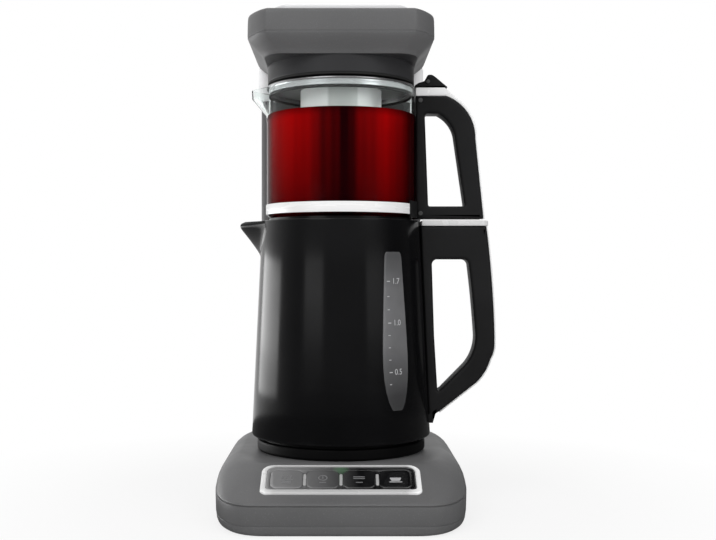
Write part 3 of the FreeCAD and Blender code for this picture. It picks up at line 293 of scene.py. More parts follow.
def piece(name, mesh, body, slot, nodes=(), sharp=38, carve=(), material=None):
    """A shown object that rides on a body and may stand for CAD nodes. It has its slot's finish unless one is given."""
    obj = placed(name, mesh)
    for cutter in carve:
        tool = placed("cutter", cutter)
        cut = obj.modifiers.new("cut", "BOOLEAN")
        cut.object, cut.operation, cut.solver = tool, "DIFFERENCE", "EXACT"
        shaped = settled(obj)
        obj.modifiers.clear()
        obj.data = shaped
        bpy.data.objects.remove(tool)
    obj.data.name = name
    obj.data.shade_smooth()
    obj.data.set_sharp_from_angle(angle=radians(sharp))
    obj.data.materials.clear()
    obj.data.materials.append(material or finishes[slot])
    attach(obj, body)
    if nodes:
        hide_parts(*nodes)
    return obj


# ---------------- materials
# Positions in materials are in the frame's metres, which are the pieces' object coordinates.


def feed(tree, socket, value):
    """Sets an input to a value, or links it to the output that gives it."""
    if isinstance(value, bpy.types.NodeSocket):
        tree.links.new(value, socket)
    else:
        socket.default_value = value


def add(tree, kind, **values):
    """A new shader node with its inputs fed, their names written with _ for a space."""
    node = tree.nodes.new("ShaderNode" + kind)
    for name, value in values.items():
        feed(tree, node.inputs[name.replace("_", " ")], value)
    return node


def noise(tree, coordinates, scale, detail, stretch=None):
    """A noise texture in object space, its scale in features for each metre."""
    if stretch:
        coordinates = add(tree, "Mapping", Scale=stretch, Vector=coordinates).outputs["Vector"]
    return add(tree, "TexNoise", Scale=scale, Detail=detail, Vector=coordinates).outputs["Fac"]


def spread(tree, value, low, high, start=0.3, end=0.7):
    """The value's range from start to end mapped to low..high."""
    return add(tree, "MapRange", From_Min=start, From_Max=end, To_Min=low, To_Max=high, Value=value).outputs["Result"]


def maths(tree, operation, *values):
    """The result of a Math node on numbers and sockets."""
    node = add(tree, "Math")
    node.operation = operation
    for socket, value in zip(node.inputs, values):
        feed(tree, socket, value)
    return node.outputs["Value"]


def times(tree, first, second):
    """The product of two numbers or sockets."""
    return maths(tree, "MULTIPLY", first, second)


def measure(tree, operation, first, second=(0, 0, 0)):
    """The number that a Vector Math node gives."""
    node = add(tree, "VectorMath")
    node.operation = operation
    for socket, value in zip(node.inputs, (first, second)):
        feed(tree, socket, value)
    return node.outputs["Value"]


def object_coordinates(tree):
    return add(tree, "TexCoord").outputs["Object"]


def axes(tree, coordinates):
    """The X, Y and Z of a vector socket."""
    return tuple(add(tree, "SeparateXYZ", Vector=coordinates).outputs)


def blend_colour(tree, factor, first, second):
    """A mix of two colours, each a tuple or a socket."""
    node = add(tree, "Mix")
    node.data_type = "RGBA"
    for name, value in (("A", first), ("B", second)):
        socket = next(s for s in node.inputs if s.name == name and s.type == "RGBA")
        feed(tree, socket, (*value, 1) if isinstance(value, tuple) else value)
    tree.links.new(factor, node.inputs["Factor"])
    return next(s for s in node.outputs if s.type == "RGBA")


def blend_shaders(tree, factor, first, second):
    """The first shader, and the second where the factor is 1."""
    mix = add(tree, "MixShader")
    for socket, value in zip(mix.inputs, (factor, first, second)):
        tree.links.new(value, socket)
    return mix.outputs["Shader"]


def base_colour(material):
    """A material's tree, its base colour's input, and the socket that feeds it."""
    tree = material.node_tree
    target = tree.nodes["Principled BSDF"].inputs["Base Color"]
    return tree, target, target.links[0].from_socket


def finish(name, colour, roughness, grain=900, depth=0.02, mottle=0.06, mottle_scale=14, rough_spread=0.05,
           speckle=0, stretch=None, **sockets):
    """A moulded or metal surface: fine grain, faint cloudiness in its colour, and changing gloss."""
    material = bpy.data.materials.new(name)
    material.use_nodes = True
    tree = material.node_tree
    shader = tree.nodes["Principled BSDF"]
    coordinates = object_coordinates(tree)
    cloud = noise(tree, coordinates, mottle_scale, 4, stretch)
    dark = tuple(c * (1 - mottle) for c in colour)
    light = tuple(min(c * (1 + mottle), 1) for c in colour)
    tint = blend_colour(tree, spread(tree, cloud, 0, 1), dark, light)
    if speckle:
        dust = noise(tree, coordinates, grain * 0.8, 1)
        pale = tuple(min(c * 3 + 0.05, 1) for c in colour)
        tint = blend_colour(tree, spread(tree, dust, 0, speckle, 0.6, 0.75), tint, pale)
    tree.links.new(tint, shader.inputs["Base Color"])
    smear = noise(tree, coordinates, mottle_scale * 2.3, 3, stretch)
    tree.links.new(spread(tree, smear, max(roughness - rough_spread, 0.01), roughness + rough_spread),
                   shader.inputs["Roughness"])
    if depth:
        relief = noise(tree, coordinates, grain, 2, stretch)
        bump = add(tree, "Bump", Strength=1, Distance=depth * MM, Height=relief)
        tree.links.new(bump.outputs["Normal"], shader.inputs["Normal"])
    for socket, value in sockets.items():
        feed(tree, shader.inputs[socket.replace("_", " ")], value)
    return material


def lets_lamps_through(material, tint=(1, 1, 1)):
    """Glass that passes lamp light straight on."""
    tree = material.node_tree
    output = next(n for n in tree.nodes if n.type == "OUTPUT_MATERIAL")
    shadow = add(tree, "LightPath").outputs["Is Shadow Ray"]
    clear = add(tree, "BsdfTransparent", Color=(*tint, 1)).outputs["BSDF"]
    own = tree.nodes["Principled BSDF"].outputs["BSDF"]
    tree.links.new(blend_shaders(tree, shadow, own, clear), output.inputs["Surface"])
    return material


BRUSHED = (1, 1, 10)  # draws the grain out level, round the axis
finishes = {
    "grey_housing": finish("grey_housing", (0.112, 0.112, 0.114), 0.44, grain=1500, depth=0.012, mottle=0.05,
                           speckle=0.10, Specular_IOR_Level=0.28),
    "pale_housing": finish("pale_housing", (0.72, 0.72, 0.73), 0.35, grain=1500, depth=0.01, mottle=0.03),
    "dark_housing": finish("dark_housing", (0.032, 0.032, 0.034), 0.42, grain=1500, depth=0.012,
                           Specular_IOR_Level=0.25),
    "black_gloss": finish("black_gloss", (0.003, 0.003, 0.0034), 0.17, grain=120, depth=0.006, mottle=0.3,
                          rough_spread=0.03, IOR=1.32),
    "black_satin": finish("black_satin", (0.0135, 0.0135, 0.014), 0.44, grain=1800, depth=0.008, mottle=0.2,
                          Specular_IOR_Level=0.1),
    "rubber": finish("rubber", (0.012, 0.012, 0.012), 0.75, depth=0.03, mottle=0.15),
    "chrome": finish("chrome", (0.86, 0.86, 0.87), 0.12, grain=300, depth=0.002, mottle=0.02, Metallic=1.0),
    "steel": finish("steel", (0.62, 0.62, 0.62), 0.3, grain=1200, depth=0.01, stretch=(1, 1, 14), Metallic=1.0),
    "silicone": finish("silicone", (0.72, 0.72, 0.70), 0.45, grain=600, depth=0.01, Subsurface_Weight=0.1),
    "circuit": finish("circuit", (0.02, 0.12, 0.05), 0.4, grain=260, depth=0.05, mottle=0.25, mottle_scale=220),
    "window": finish("window", (0.165, 0.165, 0.17), 0.22, grain=500, depth=0.01, mottle=0.12, mottle_scale=40,
                     Coat_Weight=0.4, Coat_Roughness=0.1, Transmission_Weight=0.15),
    "glass": lets_lamps_through(finish("glass", (0.91, 0.945, 0.935), 0.01, depth=0, mottle=0.01,
                                       rough_spread=0.006, Transmission_Weight=1.0, IOR=1.09)),
    "tea": lets_lamps_through(finish("tea", (0.25, 0.0009, 0.0012), 0.3, depth=0, mottle=0.12,
                                     rough_spread=0.02, Transmission_Weight=0.1, IOR=1.06, Specular_IOR_Level=0.05),
                              (0.5, 0.02, 0.02)),
    "led": finish("led", (0.1, 0.8, 0.25), 0.3, grain=400, depth=0.004, Emission_Color=(0.1, 1, 0.3, 1),
                  Emission_Strength=2.5),
}
polished = finish("polished_band", (0.86, 0.86, 0.86), 0.26, depth=0.004, mottle=0.02, stretch=BRUSHED,
                  Metallic=0.05)
bright_trim = finish("bright_trim", (0.9, 0.9, 0.9), 0.26, grain=700, depth=0.001, mottle=0.03, Metallic=0.05)
lid_metal = finish("lid_metal", (0.44, 0.44, 0.45), 0.24, depth=0.003, mottle=0.03, stretch=BRUSHED,
                   Metallic=0.9)
# Steel for the basket; its front gets painted shade further down.
basket_metal_painted_shade = finish("basket_metal_painted_shade", (0.97, 0.98, 0.98), 0.35, depth=0.003, mottle=0.02, stretch=BRUSHED,
                      Metallic=0.4)
# Painted shade: the dark grey of the sheet laid in the column's recess.
inlay_painted_shade = finish("inlay_painted_shade", (0.066, 0.066, 0.068), 0.42, grain=1500, depth=0.012, Specular_IOR_Level=0.25)
# Painted light: a lighter copy of the pale housing for the collar, which lies in the head's shade.
pale_collar_painted_light = finish("pale_collar_painted_light", (0.86, 0.86, 0.87), 0.35, grain=1500, depth=0.01, mottle=0.03)
web_metal = finish("web_metal", (0.42, 0.42, 0.42), 0.3, grain=700, depth=0.001, mottle=0.03, Metallic=0.05)
plate_metal = finish("plate_metal", (0.68, 0.68, 0.68), 0.28, depth=0.001, mottle=0.02, Metallic=0.1)
# Painted shade: a darker copy of the satin black for the kettle's foot, in the shade under the kettle.
foot_black_painted_shade = finish("foot_black_painted_shade", (0.002, 0.002, 0.0022), 0.5, grain=1800, depth=0.008, mottle=0.2,
                    Specular_IOR_Level=0.12)
# Painted light: a grey instead of black for the lid, to lift the shade under it inside the jug.
lid_grey_painted_light = finish("lid_grey_painted_light", (0.25, 0.255, 0.25), 0.4, grain=1800, depth=0.008, mottle=0.1)
dull_steel = finish("dull_steel", (0.16, 0.16, 0.16), 0.4, grain=1200, depth=0.01, Metallic=1.0)
print_white = finish("print", (0.46, 0.46, 0.47), 0.5, depth=0.004, mottle=0.05)
smoke_print = finish("faint_print", (0.2, 0.2, 0.205), 0.5, depth=0.004, mottle=0.05)

# Painted shade: the colour the tea is painted where light is kept off it.
TEA_PAINTED_SHADE = (0.006, 0.0, 0.0003)


def paint_tea_light_and_shade():
    """Painted light and shade in the tea's colour: it deepens towards the quarter where the column, the lip and the
    handle keep the light off it, painted streaks of light run round it, and it is painted darker on the handle's side,
    towards its bottom and just under its surface.
    """
    tree, target, tint = base_colour(finishes["tea"])
    about_axis = add(tree, "Mapping", Location=(-AXIS_X, 0, 0), Vector=object_coordinates(tree))
    x, y, z = axes(tree, about_axis.outputs["Vector"])
    turn = maths(tree, "ARCTAN2", y, x)

    def wave(count):
        return maths(tree, "SINE", times(tree, turn, count))

    # Painted light: lighter between the quarters, with painted streaks of light round the tea.
    painted_light_by_quarter = maths(tree, "POWER", maths(tree, "ABSOLUTE", wave(2)), 1.7)
    painted_streaks = times(tree, wave(18), 0.085)
    fine = times(tree, wave(46), 0.06)
    light = maths(tree, "MAXIMUM", maths(tree, "ADD", maths(tree, "ADD", painted_light_by_quarter, painted_streaks), fine), 0)
    # Painted shade: darker on the handle's side, towards the bottom and just under the surface.
    side = spread(tree, x, 1, 0.12, 0.036, 0.057)
    low = spread(tree, z, 0.3, 1, 0.250, 0.318)
    rim = spread(tree, z, 1, 0.35, 0.3185, 0.3245)
    clear = times(tree, times(tree, side, low), rim)
    tea_with_painted_light = blend_colour(tree, light, TEA_PAINTED_SHADE, tint)
    tree.links.new(blend_colour(tree, clear, TEA_PAINTED_SHADE, tea_with_painted_light), target)


def paint_basket_shade():
    """Painted shade: the basket's front is painted darker between its two bright sides."""
    tree, target, tint = base_colour(basket_metal_painted_shade)
    x = axes(tree, object_coordinates(tree))[0]
    left = spread(tree, x, 0, 1, AXIS_X - 0.0115, AXIS_X - 0.0095)
    right = spread(tree, x, 1, 0, AXIS_X + 0.0125, AXIS_X + 0.0145)
    # The darker middle colour is painted shade.
    tree.links.new(blend_colour(tree, times(tree, left, right), tint, (0.68, 0.7, 0.69)), target)


def shade_window():
    """The smoked window is darker in its lower part, and fades darker towards its top."""
    tree, target, tint = base_colour(finishes["window"])
    z = axes(tree, object_coordinates(tree))[2]
    upper = spread(tree, z, 1, 0.45, 0.18, 0.205)
    lower = spread(tree, z, 0, 1, 0.095, 0.135)
    faded = blend_colour(tree, upper, (0.03, 0.03, 0.031), tint)
    tree.links.new(blend_colour(tree, lower, (0.05, 0.05, 0.052), faded), target)


def panel_finish_with_painted_reflection():
    """Gloss black with a painted reflection that pales it to grey towards the left end of the panel, and a painted glow
    of the status light round that light.
    """
    material = finish("panel_gloss_painted_reflection", (0.004, 0.004, 0.0045), 0.12, grain=400, depth=0.003, mottle=0.2,
                      rough_spread=0.03, Coat_Weight=0.5, Coat_Roughness=0.08)
    tree, target, tint = base_colour(material)
    coordinates = object_coordinates(tree)
    # Painted reflection: the gloss is painted grey towards the panel's left end.
    painted_reflection_fade = spread(tree, axes(tree, coordinates)[0], 1, 0, AXIS_X - 0.045, AXIS_X + 0.014)
    tree.links.new(blend_colour(tree, painted_reflection_fade, tint, (0.2, 0.2, 0.202)), target)
    led_low, led_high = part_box("status_led")
    distance = measure(tree, "DISTANCE", coordinates, (led_low + led_high) / 2)
    # Painted light: the status light's glow, painted on the panel round it.
    glow = spread(tree, distance, 0.3, 0, 0.001, 0.0085)
    shader = tree.nodes["Principled BSDF"]
    tree.links.new(glow, shader.inputs["Emission Strength"])
    shader.inputs["Emission Color"].default_value = (0.08, 0.42, 0.12, 1)
    return material


def bezel_finish_painted_shade():
    """Bright trim with painted shade that greys it along the panel's long rails, and painted light at its ends, the
    right end lightest.
    """
    material = finish("bezel_metal_painted_shade", (0.54, 0.54, 0.54), 0.26, grain=700, depth=0.001, mottle=0.03, Metallic=0.05)
    tree, target, tint = base_colour(material)
    x = axes(tree, object_coordinates(tree))[0]
    # Painted light: the ends are painted lighter than the rails, which carry painted shade; the right end is lightest.
    for start, end, bright in ((-0.05, -0.057, 0.78), (0.049, 0.057, 0.92)):
        share = spread(tree, x, 0, 1, AXIS_X + start, AXIS_X + end)
        tint = blend_colour(tree, share, tint, (bright, bright, bright))
    tree.links.new(tint, target)
    return material


paint_tea_light_and_shade()
paint_basket_shade()
shade_window()
panel_gloss_painted_reflection = panel_finish_with_painted_reflection()
DULL_NODES = ("jug_handle_screws", "lid_hinge_pin")
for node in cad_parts.values():
    for material_slot in node.material_slots:
        wanted = material_slot.material.name.split(".")[0] if material_slot.material else "grey_housing"
        material_slot.link = "OBJECT"
        material_slot.material = dull_steel if node.name in DULL_NODES else finishes[wanted]

# ---------------- base

BASE = Sizes(half_width=100, front=-127, back=127, crease=23.5, top=45, plateau_front=-76,
             corner_x=38, corner_y=95, back_corner=50)


def base_level(height, side, front, back, corner=0):
    """One level of the base: how far its sides, front and back stand in from the widest."""
    rear = BASE.back_corner - side * 0.5
    return rounded_plan(BASE.half_width - side, BASE.front + front, BASE.back - back,
                        (BASE.corner_x - corner - side * 0.2, BASE.corner_y - corner - front * 0.6),
                        (rear, rear), height, 2.35, 18, 11)


slope = (BASE.plateau_front - BASE.front) / (BASE.top - BASE.crease)
# Height, then how far the sides, the front and the back stand in. The notch below the crease is the seam.
BASE_WALL = [(7.9, 0.5, 0.4, 0.4), (8.3, 0.35, 0.25, 0.25), (16, 0.15, 0.1, 0.1), (21.4, 0.0, 0.0, 0.0),
             (21.7, 0.1, 0.1, 0.1), (21.9, 0.6, 0.6, 0.5), (22.5, 0.6, 0.6, 0.5), (22.7, 0.1, 0.1, 0.1),
             (22.95, 0.0, 0.0, 0.0), (BASE.crease, 0, 0.35, 0)]
# Height, side and back above the crease, where the front follows the panel's slope.
BASE_SHOULDER = [(24.2, 0.05, 0.0), (27, 0.3, 0.1), (31, 1.1, 0.4), (34.5, 2.6, 1.1), (38, 5.2, 2.4), (40.8, 8.4, 4.2),
                 (42.8, 11.4, 5.8), (44.2, 14.2, 7.4), (44.85, 16.3, 8.4), (45.0, 17.5, 9.0)]
# Height, side, front, back and the growth of the corners.
TRAY = [(0.35, 3.4, 2.4, 2.4, -4), (0.8, 2.3, 1.4, 1.4, -3), (1.7, 1.4, 0.8, 0.8, -2), (3.4, 0.9, 0.6, 0.6, -1),
        (5.6, 0.65, 0.5, 0.5, -0.4), (7.4, 0.55, 0.45, 0.45, 0), (7.6, 0.75, 0.65, 0.65, 0),
        (7.95, 0.75, 0.65, 0.65, 0)]
levels = [base_level(*row) for row in BASE_WALL]
levels += [base_level(h, side, (h - BASE.crease) * slope, back) for h, side, back in BASE_SHOULDER]

PANEL_TILT = atan2(BASE.top - BASE.crease, BASE.plateau_front - BASE.front)
PANEL_UP = Vector((0, cos(PANEL_TILT), sin(PANEL_TILT)))
PANEL_OUT = Vector((0, -sin(PANEL_TILT), cos(PANEL_TILT)))
PANEL_CENTRE = Vector((0, *middle(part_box("panel_bezel"))[1:]))
slope_foot = Vector((0, BASE.front, BASE.crease))
PANEL_ORIGIN = PANEL_CENTRE - PANEL_OUT * (PANEL_CENTRE - slope_foot).dot(PANEL_OUT)
PANEL = Sizes(half_width=60.5, half_length=19, corner_low=5, corner_high=9, rim=3.9)


def on_panel(u, v, w):
    """A point of the sloping panel: along it, up it, and out of it."""
    return Vector((u, 0, 0)) + PANEL_ORIGIN + PANEL_UP * v + PANEL_OUT * w


def panel_outline(by=0):
    """The panel's outline, moved in by a distance."""
    w, l = PANEL.half_width - by, PANEL.half_length - by
    low, high = PANEL.corner_low - by * 0.6, PANEL.corner_high - by * 0.6
    return soften([(-w, -l, low), (w, -l, low), (w, l, high), (-w, l, high)], 8)


pocket = slab([panel_outline(0.5)], -7, 6, 0, on_panel, 1)
gland_x, _, gland_z = middle(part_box("cord_gland"))
gland_hole = slab([ring_outline(gland_x, gland_z, 7.3, 36)], -135, -112, 0, lambda u, v, w: (u, -w, v), 1)
piece("base_shell", loft(levels), "base", "grey_housing", ["base_cover"], 50, [pocket, gland_hole])
piece("base_foot", loft([base_level(*row) for row in TRAY]), "base", "grey_housing", ["base_tray"], 50)

# ---------------- panel

PITCH = 27.5
BUTTON = Sizes(half_width=12.4, half_length=12.3, rounding=5.5, gap=0.25, hole_rounding=5.7)
BUTTON_V = (Vector(middle(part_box("button_1"))) - PANEL_ORIGIN).dot(PANEL_UP)
centres = [(n - 1.5) * PITCH for n in range(4)]
# How far in from the outline, and how far out of the panel.
BEZEL_ROWS = [(0.0, -5.0), (0.0, 0.8), (0.2, 1.15), (0.6, 1.35), (1.1, 1.4), (2.9, 1.4), (3.4, 1.2),
              (PANEL.rim, 0.6), (PANEL.rim + 0.05, -3.0)]
KEY_ROWS = [(0, -3.2), (0, 0.2), (0.12, 0.55), (0.45, 0.8), (1.2, 0.92), (3.5, 0.86), (7.0, 0.78), (10.5, 0.75)]
OPENING_SHIFT = 2.4  # the bezel's opening sits higher than its outline, so its top rail is the thin one


def at_button(u, v, w):
    """A point of the panel, counted from the row of buttons."""
    return on_panel(u, v + BUTTON_V, w)


def button_outline(x, by, rounding):
    """The outline of the button at x, moved in by a distance."""
    w, l = BUTTON.half_width - by, BUTTON.half_length - by
    return box_outline(x - w, -l, x + w, l, rounding, 7)


bezel = [[on_panel(u, v + OPENING_SHIFT * by / PANEL.rim, height) for u, v in panel_outline(by)]
         for by, height in BEZEL_ROWS]
piece("panel_frame", loft(bezel, ring=True), "base", "chrome", ["panel_bezel"], 60, material=bezel_finish_painted_shade())
holes = [[(u, v + BUTTON_V) for u, v in button_outline(x, -BUTTON.gap, BUTTON.hole_rounding)] for x in centres]
plate = [(u, v + OPENING_SHIFT) for u, v in panel_outline(PANEL.rim - 0.2)]
piece("panel_face", slab([plate] + holes, -2.2, 0.3, 0.15, on_panel, 2), "base", "black_gloss", ["panel_plate"],
      material=panel_gloss_painted_reflection)
webs = [slab([bar(x, -0.6, 1.15, 7.4, 0.9)], 0.2, 0.75, (0, 0.3), at_button, 3) for x in (-PITCH, 0, PITCH)]
piece("panel_webs", join(*webs), "base", "chrome", material=web_metal)

for number, x in enumerate(centres, 1):
    rows = [[at_button(u, v, height) for u, v in button_outline(x, by, max(BUTTON.rounding - by, 1.2))]
            for by, height in KEY_ROWS]
    piece(f"key_{number}", loft(rows), f"button_{number}", "black_gloss", [f"button_{number}"], 40,
          material=panel_gloss_painted_reflection)


def sign(x, number):
    """A generic sign, each of its strokes a list of loops: steam over a pot, a dial with a hand, bars, or a cup."""
    underline = [bar(x, -4.6, 2.6, 0.45)]
    if number == 1:
        puffs = [x + k * 3 for k in (-1, 0, 1)]
        steam = [[soften([(p - 0.4, 0.8, 0.2), (p + 0.4, 0.8, 0.2), (p + 0.9, 4.6, 0.2), (p + 0.1, 4.6, 0.2)], 2)]
                 for p in puffs]
        return steam + [[bar(x, -1.2, 5, 0.5)], [bar(x, -4.2, 3.6, 1.5, 0.8)]]
    if number == 2:
        return [[ring_outline(x, 1.4, 3.6), ring_outline(x, 1.4, 2.7)], [bar(x, 1.9, 0.4, 1.6)], underline]
    if number == 3:
        return [[bar(x, 2.8, 4.4, 0.5)], [bar(x, 0.6, 4.4, 0.5)], underline]
    cup = soften([(x - 4.4, 1.6, 0.3), (x - 3.2, -2.6, 1.2), (x + 3.2, -2.6, 1.2), (x + 4.4, 1.6, 0.3)], 4)
    return [[cup], [bar(x, -4.0, 4.8, 0.5)]]


SIGN_LOW, SIGN_HIGH = 0.7, 0.98
for number, x in enumerate(centres, 1):
    strokes = [slab(loops, SIGN_LOW, SIGN_HIGH, 0, at_button, 1) for loops in sign(x, number)]
    piece(f"key_sign_{number}", join(*strokes), f"button_{number}", "pale_housing",
          material=print_white if number == 4 else smoke_print)

# ---------------- column

COLUMN = {"half_width": 73.6, "front": 80, "back": 116.6, "low": 44.8, "high": 381}
COLUMN_CORNERS = 2.2  # the power of the corners of its plan


def upright(half_width, front, back, low, high, front_corner, back_corner, soft=1.2):
    """A standing block with rounded corners and softened ends."""
    return loft([rounded_plan(half_width - by, front + by, back - by, (front_corner - by, front_corner - by),
                              (back_corner - by, back_corner - by), low + height, COLUMN_CORNERS, 10, 7)
                 for by, height in rim_rows(high - low, soft, 3)])


def standing(outline, front, back, rounding):
    """A slab standing across the object, from y = front to y = back."""
    return slab([outline], front, back, rounding, across_y, 3)


recess = slab([box_outline(-61, 52, 61, 352, 6)], 70, 81.4, 0, across_y, 1)
piece("column_shell", upright(**COLUMN, front_corner=9, back_corner=15), "base", "grey_housing", ["column_front"],
      50, [recess])
piece("column_rear_panel", standing(box_outline(-63, 56, 63, 340, 7, 7), 112, 118, (0.3, 1.6)),
      "base", "grey_housing", ["column_back"])
# Painted shade: a dark sheet laid in the column's recess, round the pale strip.
piece("column_inlay_painted_shade", standing(box_outline(-60.6, 52.5, 60.6, 351, 5.7), 79, 81.3, 0.6),
      "base", "dark_housing", material=inlay_painted_shade)
piece("column_strip", standing(box_outline(-35, 116, 35, 348, 6, 7), 78.1, 79.4, 0.6), "base", "pale_housing")
COLLAR_FRONT = 77.6
# Painted light: the collar is painted lighter than the pale housing.
piece("collar", upright(76, COLLAR_FRONT, 120.4, 349, 381.2, 10, 16, 1.6), "base", "pale_housing",
      ["column_collar"], 50, material=pale_collar_painted_light)

# ---------------- head

HEAD = Sizes(half_width=75, front=-76, back=120.4, corner=(17, 29))
HEAD_CORNERS = 1.35  # below 2, so the corners of its plan are flattened to facets
# Height and how far in.
HEAD_ROWS = [(381.0, 0.35), (381.3, 0.1), (381.9, 0), (390, 0.1), (395.0, 0.25), (397.2, 0.55), (398.3, 1.1),
             (398.8, 1.8), (399, 2.9)]
# Height and how far on the way from the head's outline to the neck's.
TAPER_ROWS = [(381.0, 0.02), (380.6, 0.0), (379.2, 0.05), (377, 0.17), (374.5, 0.36), (372, 0.58), (369.6, 0.79),
              (367.6, 0.94), (366.4, 1.0), (366.0, 1.03)]
NECK = Sizes(radius=61.6, bore=56, low=351.6, high=366.4)


def head_level(height, by):
    """One level of the head, moved in by a distance."""
    corner_x, corner_y = HEAD.corner
    return rounded_plan(HEAD.half_width - by, HEAD.front + by, HEAD.back - by,
                        (corner_x - by * 0.3, corner_y - by * 0.5), (26 - by, 26 - by), height, HEAD_CORNERS)


piece("head_upper", loft([head_level(*row) for row in HEAD_ROWS]), "base", "grey_housing", ["head_shell"], 50)
top_plan = rounded_plan(HEAD.half_width, HEAD.front, COLLAR_FRONT, HEAD.corner, (14, 14), 0, HEAD_CORNERS)
mouth_plan = rounded_plan(62.6, -62.6, 66, (17, 22), (16, 16), 0, 1.9)
rows = [[(a[0] + (b[0] - a[0]) * share, a[1] + (b[1] - a[1]) * share, height) for a, b in zip(top_plan, mouth_plan)]
        for height, share in TAPER_ROWS]
piece("head_lower", loft(rows), "base", "grey_housing", ["head_lower_shell"], 60)
rows = [rounded_plan(57 - by, -58 + by, 102.4 - by, (15 - by, 22 - by), (20 - by, 20 - by), 399 + height, 1.7, 12, 7)
        for by, height in rim_rows(7, (0, 2.2), 4)]
piece("head_cap", loft(rows), "base", "pale_housing", ["head_top_plate"], 50)
neck = lathe(soften([(NECK.radius, NECK.low, 1.2), (NECK.radius, NECK.high), (NECK.bore, NECK.high),
                     (NECK.bore, NECK.low, 0.5)], 5), closed=True)
mouth = [(x, y) for x, y, _ in reversed(mouth_plan)]
neck_plate = slab([inset(mouth, 0.9)], 365.6, 366.2, 0.1, steps=1)
piece("neck", join(neck, neck_plate), "base", "dark_housing", ["head_neck"])
gasket = soften([(NECK.radius, 350.25, 0.4), (NECK.radius, NECK.low), (56.5, NECK.low),
                 (56.5, 350.25, 0.4)], 4)
piece("gasket", lathe(gasket, closed=True), "base", "rubber", ["neck_gasket"])

# ---------------- kettle

KETTLE = Sizes(foot=57, top=236, foot_radius=75, top_radius=66.5, wall=2.2)
SMOOTH = 192  # steps round the largest turned pieces


def kettle_radius(height):
    """The kettle's outer radius, which narrows evenly to its top."""
    share = (height - KETTLE.foot) / (KETTLE.top - KETTLE.foot)
    return KETTLE.foot_radius + (KETTLE.top_radius - KETTLE.foot_radius) * share


shell = soften([
    (0, 59.6), (74.2, 57.1, 1.5), *[(kettle_radius(h), h) for h in (59, 100, 150, 200)],
    (KETTLE.top_radius, KETTLE.top, 1.3), (64.2, KETTLE.top, 0.6), (kettle_radius(200) - KETTLE.wall, 200),
    (kettle_radius(70) - KETTLE.wall, 66, 4), (0, 64)], 5, closed=False)
shell[0] = (0, 57.1)  # the underside is flat, and only its rounding is that of a slope
piece("kettle_shell", lathe(shell, SMOOTH), "kettle", "black_gloss", ["kettle_body"])
ring = soften([(66.5, 57.2), (66.5, 54.2, 0.6), (70.4, 54.2, 1.4), (70.4, 46.6, 1.6), (68.6, 45.05, 0.6), (60, 45.05),
               (60, 57.2)], 5)
# Painted shade: the foot is painted darker than the satin black.
piece("kettle_foot", lathe(ring, SMOOTH, closed=True), "kettle", "black_satin", ["kettle_base_ring"],
      material=foot_black_painted_shade)

# The pane's half width at each height.
WINDOW_WIDTHS = [(83.4, 4.2), (84.2, 5.4), (86, 6.5), (90, 8.6), (98, 11.0), (108, 12.7), (118, 13.3), (128, 13.3),
                 (145, 12.6), (165, 11.5), (185, 10.3), (200, 9.5), (205, 9.1), (207.6, 8.5), (209, 7.6), (209.6, 6.4)]
WINDOW = Sizes(turn=radians(37.8), proud=0.42, edge=1.1, sunk=0.25, thickness=0.9)
window_heights = sorted({h for h, _ in WINDOW_WIDTHS} | {83.7 + 0.2 * k for k in range(4)} | {209.3}
                        | {84.2 + (209 - 84.2) * k / 44 for k in range(45)})


def on_kettle(across, height, proud):
    """A point on the kettle's wall, across from the middle of its window."""
    radius = kettle_radius(height)
    angle = WINDOW.turn + across / radius
    return ((radius + proud) * sin(angle), -(radius + proud) * cos(angle), height)


def window_rows():
    """The pane's face: proud of the wall, and rounded down into it along its edge."""
    columns = 14
    foot, top = window_heights[0], window_heights[-1]
    for height in window_heights:
        half = read_off(WINDOW_WIDTHS, height)
        row = []
        for c in range(-columns, columns + 1):
            t = c / columns
            to_edge = min((1 - abs(t)) * half, height - foot + 0.02, top - height + 0.02)
            edge = min(to_edge / WINDOW.edge, 1)
            lift = WINDOW.proud * sqrt(max(1 - (1 - edge) ** 2, 0)) - WINDOW.sunk * (1 - edge) ** 4
            row.append(on_kettle(half * t, height, lift))
        yield row


pane = sheet(list(window_rows()))
bmesh.ops.recalc_face_normals(pane, faces=pane.faces)
bmesh.ops.solidify(pane, geom=pane.faces[:], thickness=WINDOW.thickness)
piece("window_pane", pane, "kettle", "window", ["water_window"], 60)

# The marks of the water scale, in litres where there is a number.
SCALE = Sizes(proud=WINDOW.proud + 0.04, left=-7.5, numbers=1.5, size=6.5)
NUMBERED = (("1.7", 186), ("1.0", 153), ("0.5", 114))
BETWEEN = (174, 163.5, 143.2, 133.5, 123.8, 104.5)


def dash(height, length, width):
    """A fine raised line across the window."""
    return sheet([[on_kettle(across, height + rise, SCALE.proud)
                   for across in (SCALE.left, SCALE.left + length)] for rise in (width / 2, -width / 2)])


def number_mesh(text, height):
    """Numerals laid on the window."""
    curve = bpy.data.curves.new("numeral", "FONT")
    curve.body, curve.size, curve.align_x, curve.align_y = text, SCALE.size, "CENTER", "CENTER"
    curve.resolution_u = 4
    holder = linked("numeral", curve)
    data = settled(holder)
    mesh = bmesh.new()
    mesh.from_mesh(data)
    for vertex in mesh.verts:
        vertex.co = Vector(on_kettle(SCALE.numbers + vertex.co.x, height + vertex.co.y, SCALE.proud))
    bpy.data.objects.remove(holder)
    bpy.data.meshes.remove(data)
    return mesh


scale_parts = []
for litres, height in NUMBERED:
    scale_parts += [number_mesh(litres, height), dash(height, 3, 0.7)]
scale_parts += [dash(height, 2, 0.55) for height in BETWEEN]
piece("window_scale", join(*scale_parts), "kettle", "pale_housing", material=print_white)

# The kettle's beak: levels up the wall, each a nose that reaches further out.
BEAK = Sizes(low=205.4, high=235.6, half_width=24.0, levels=22, across=28, wall=2.0, root=0.6)
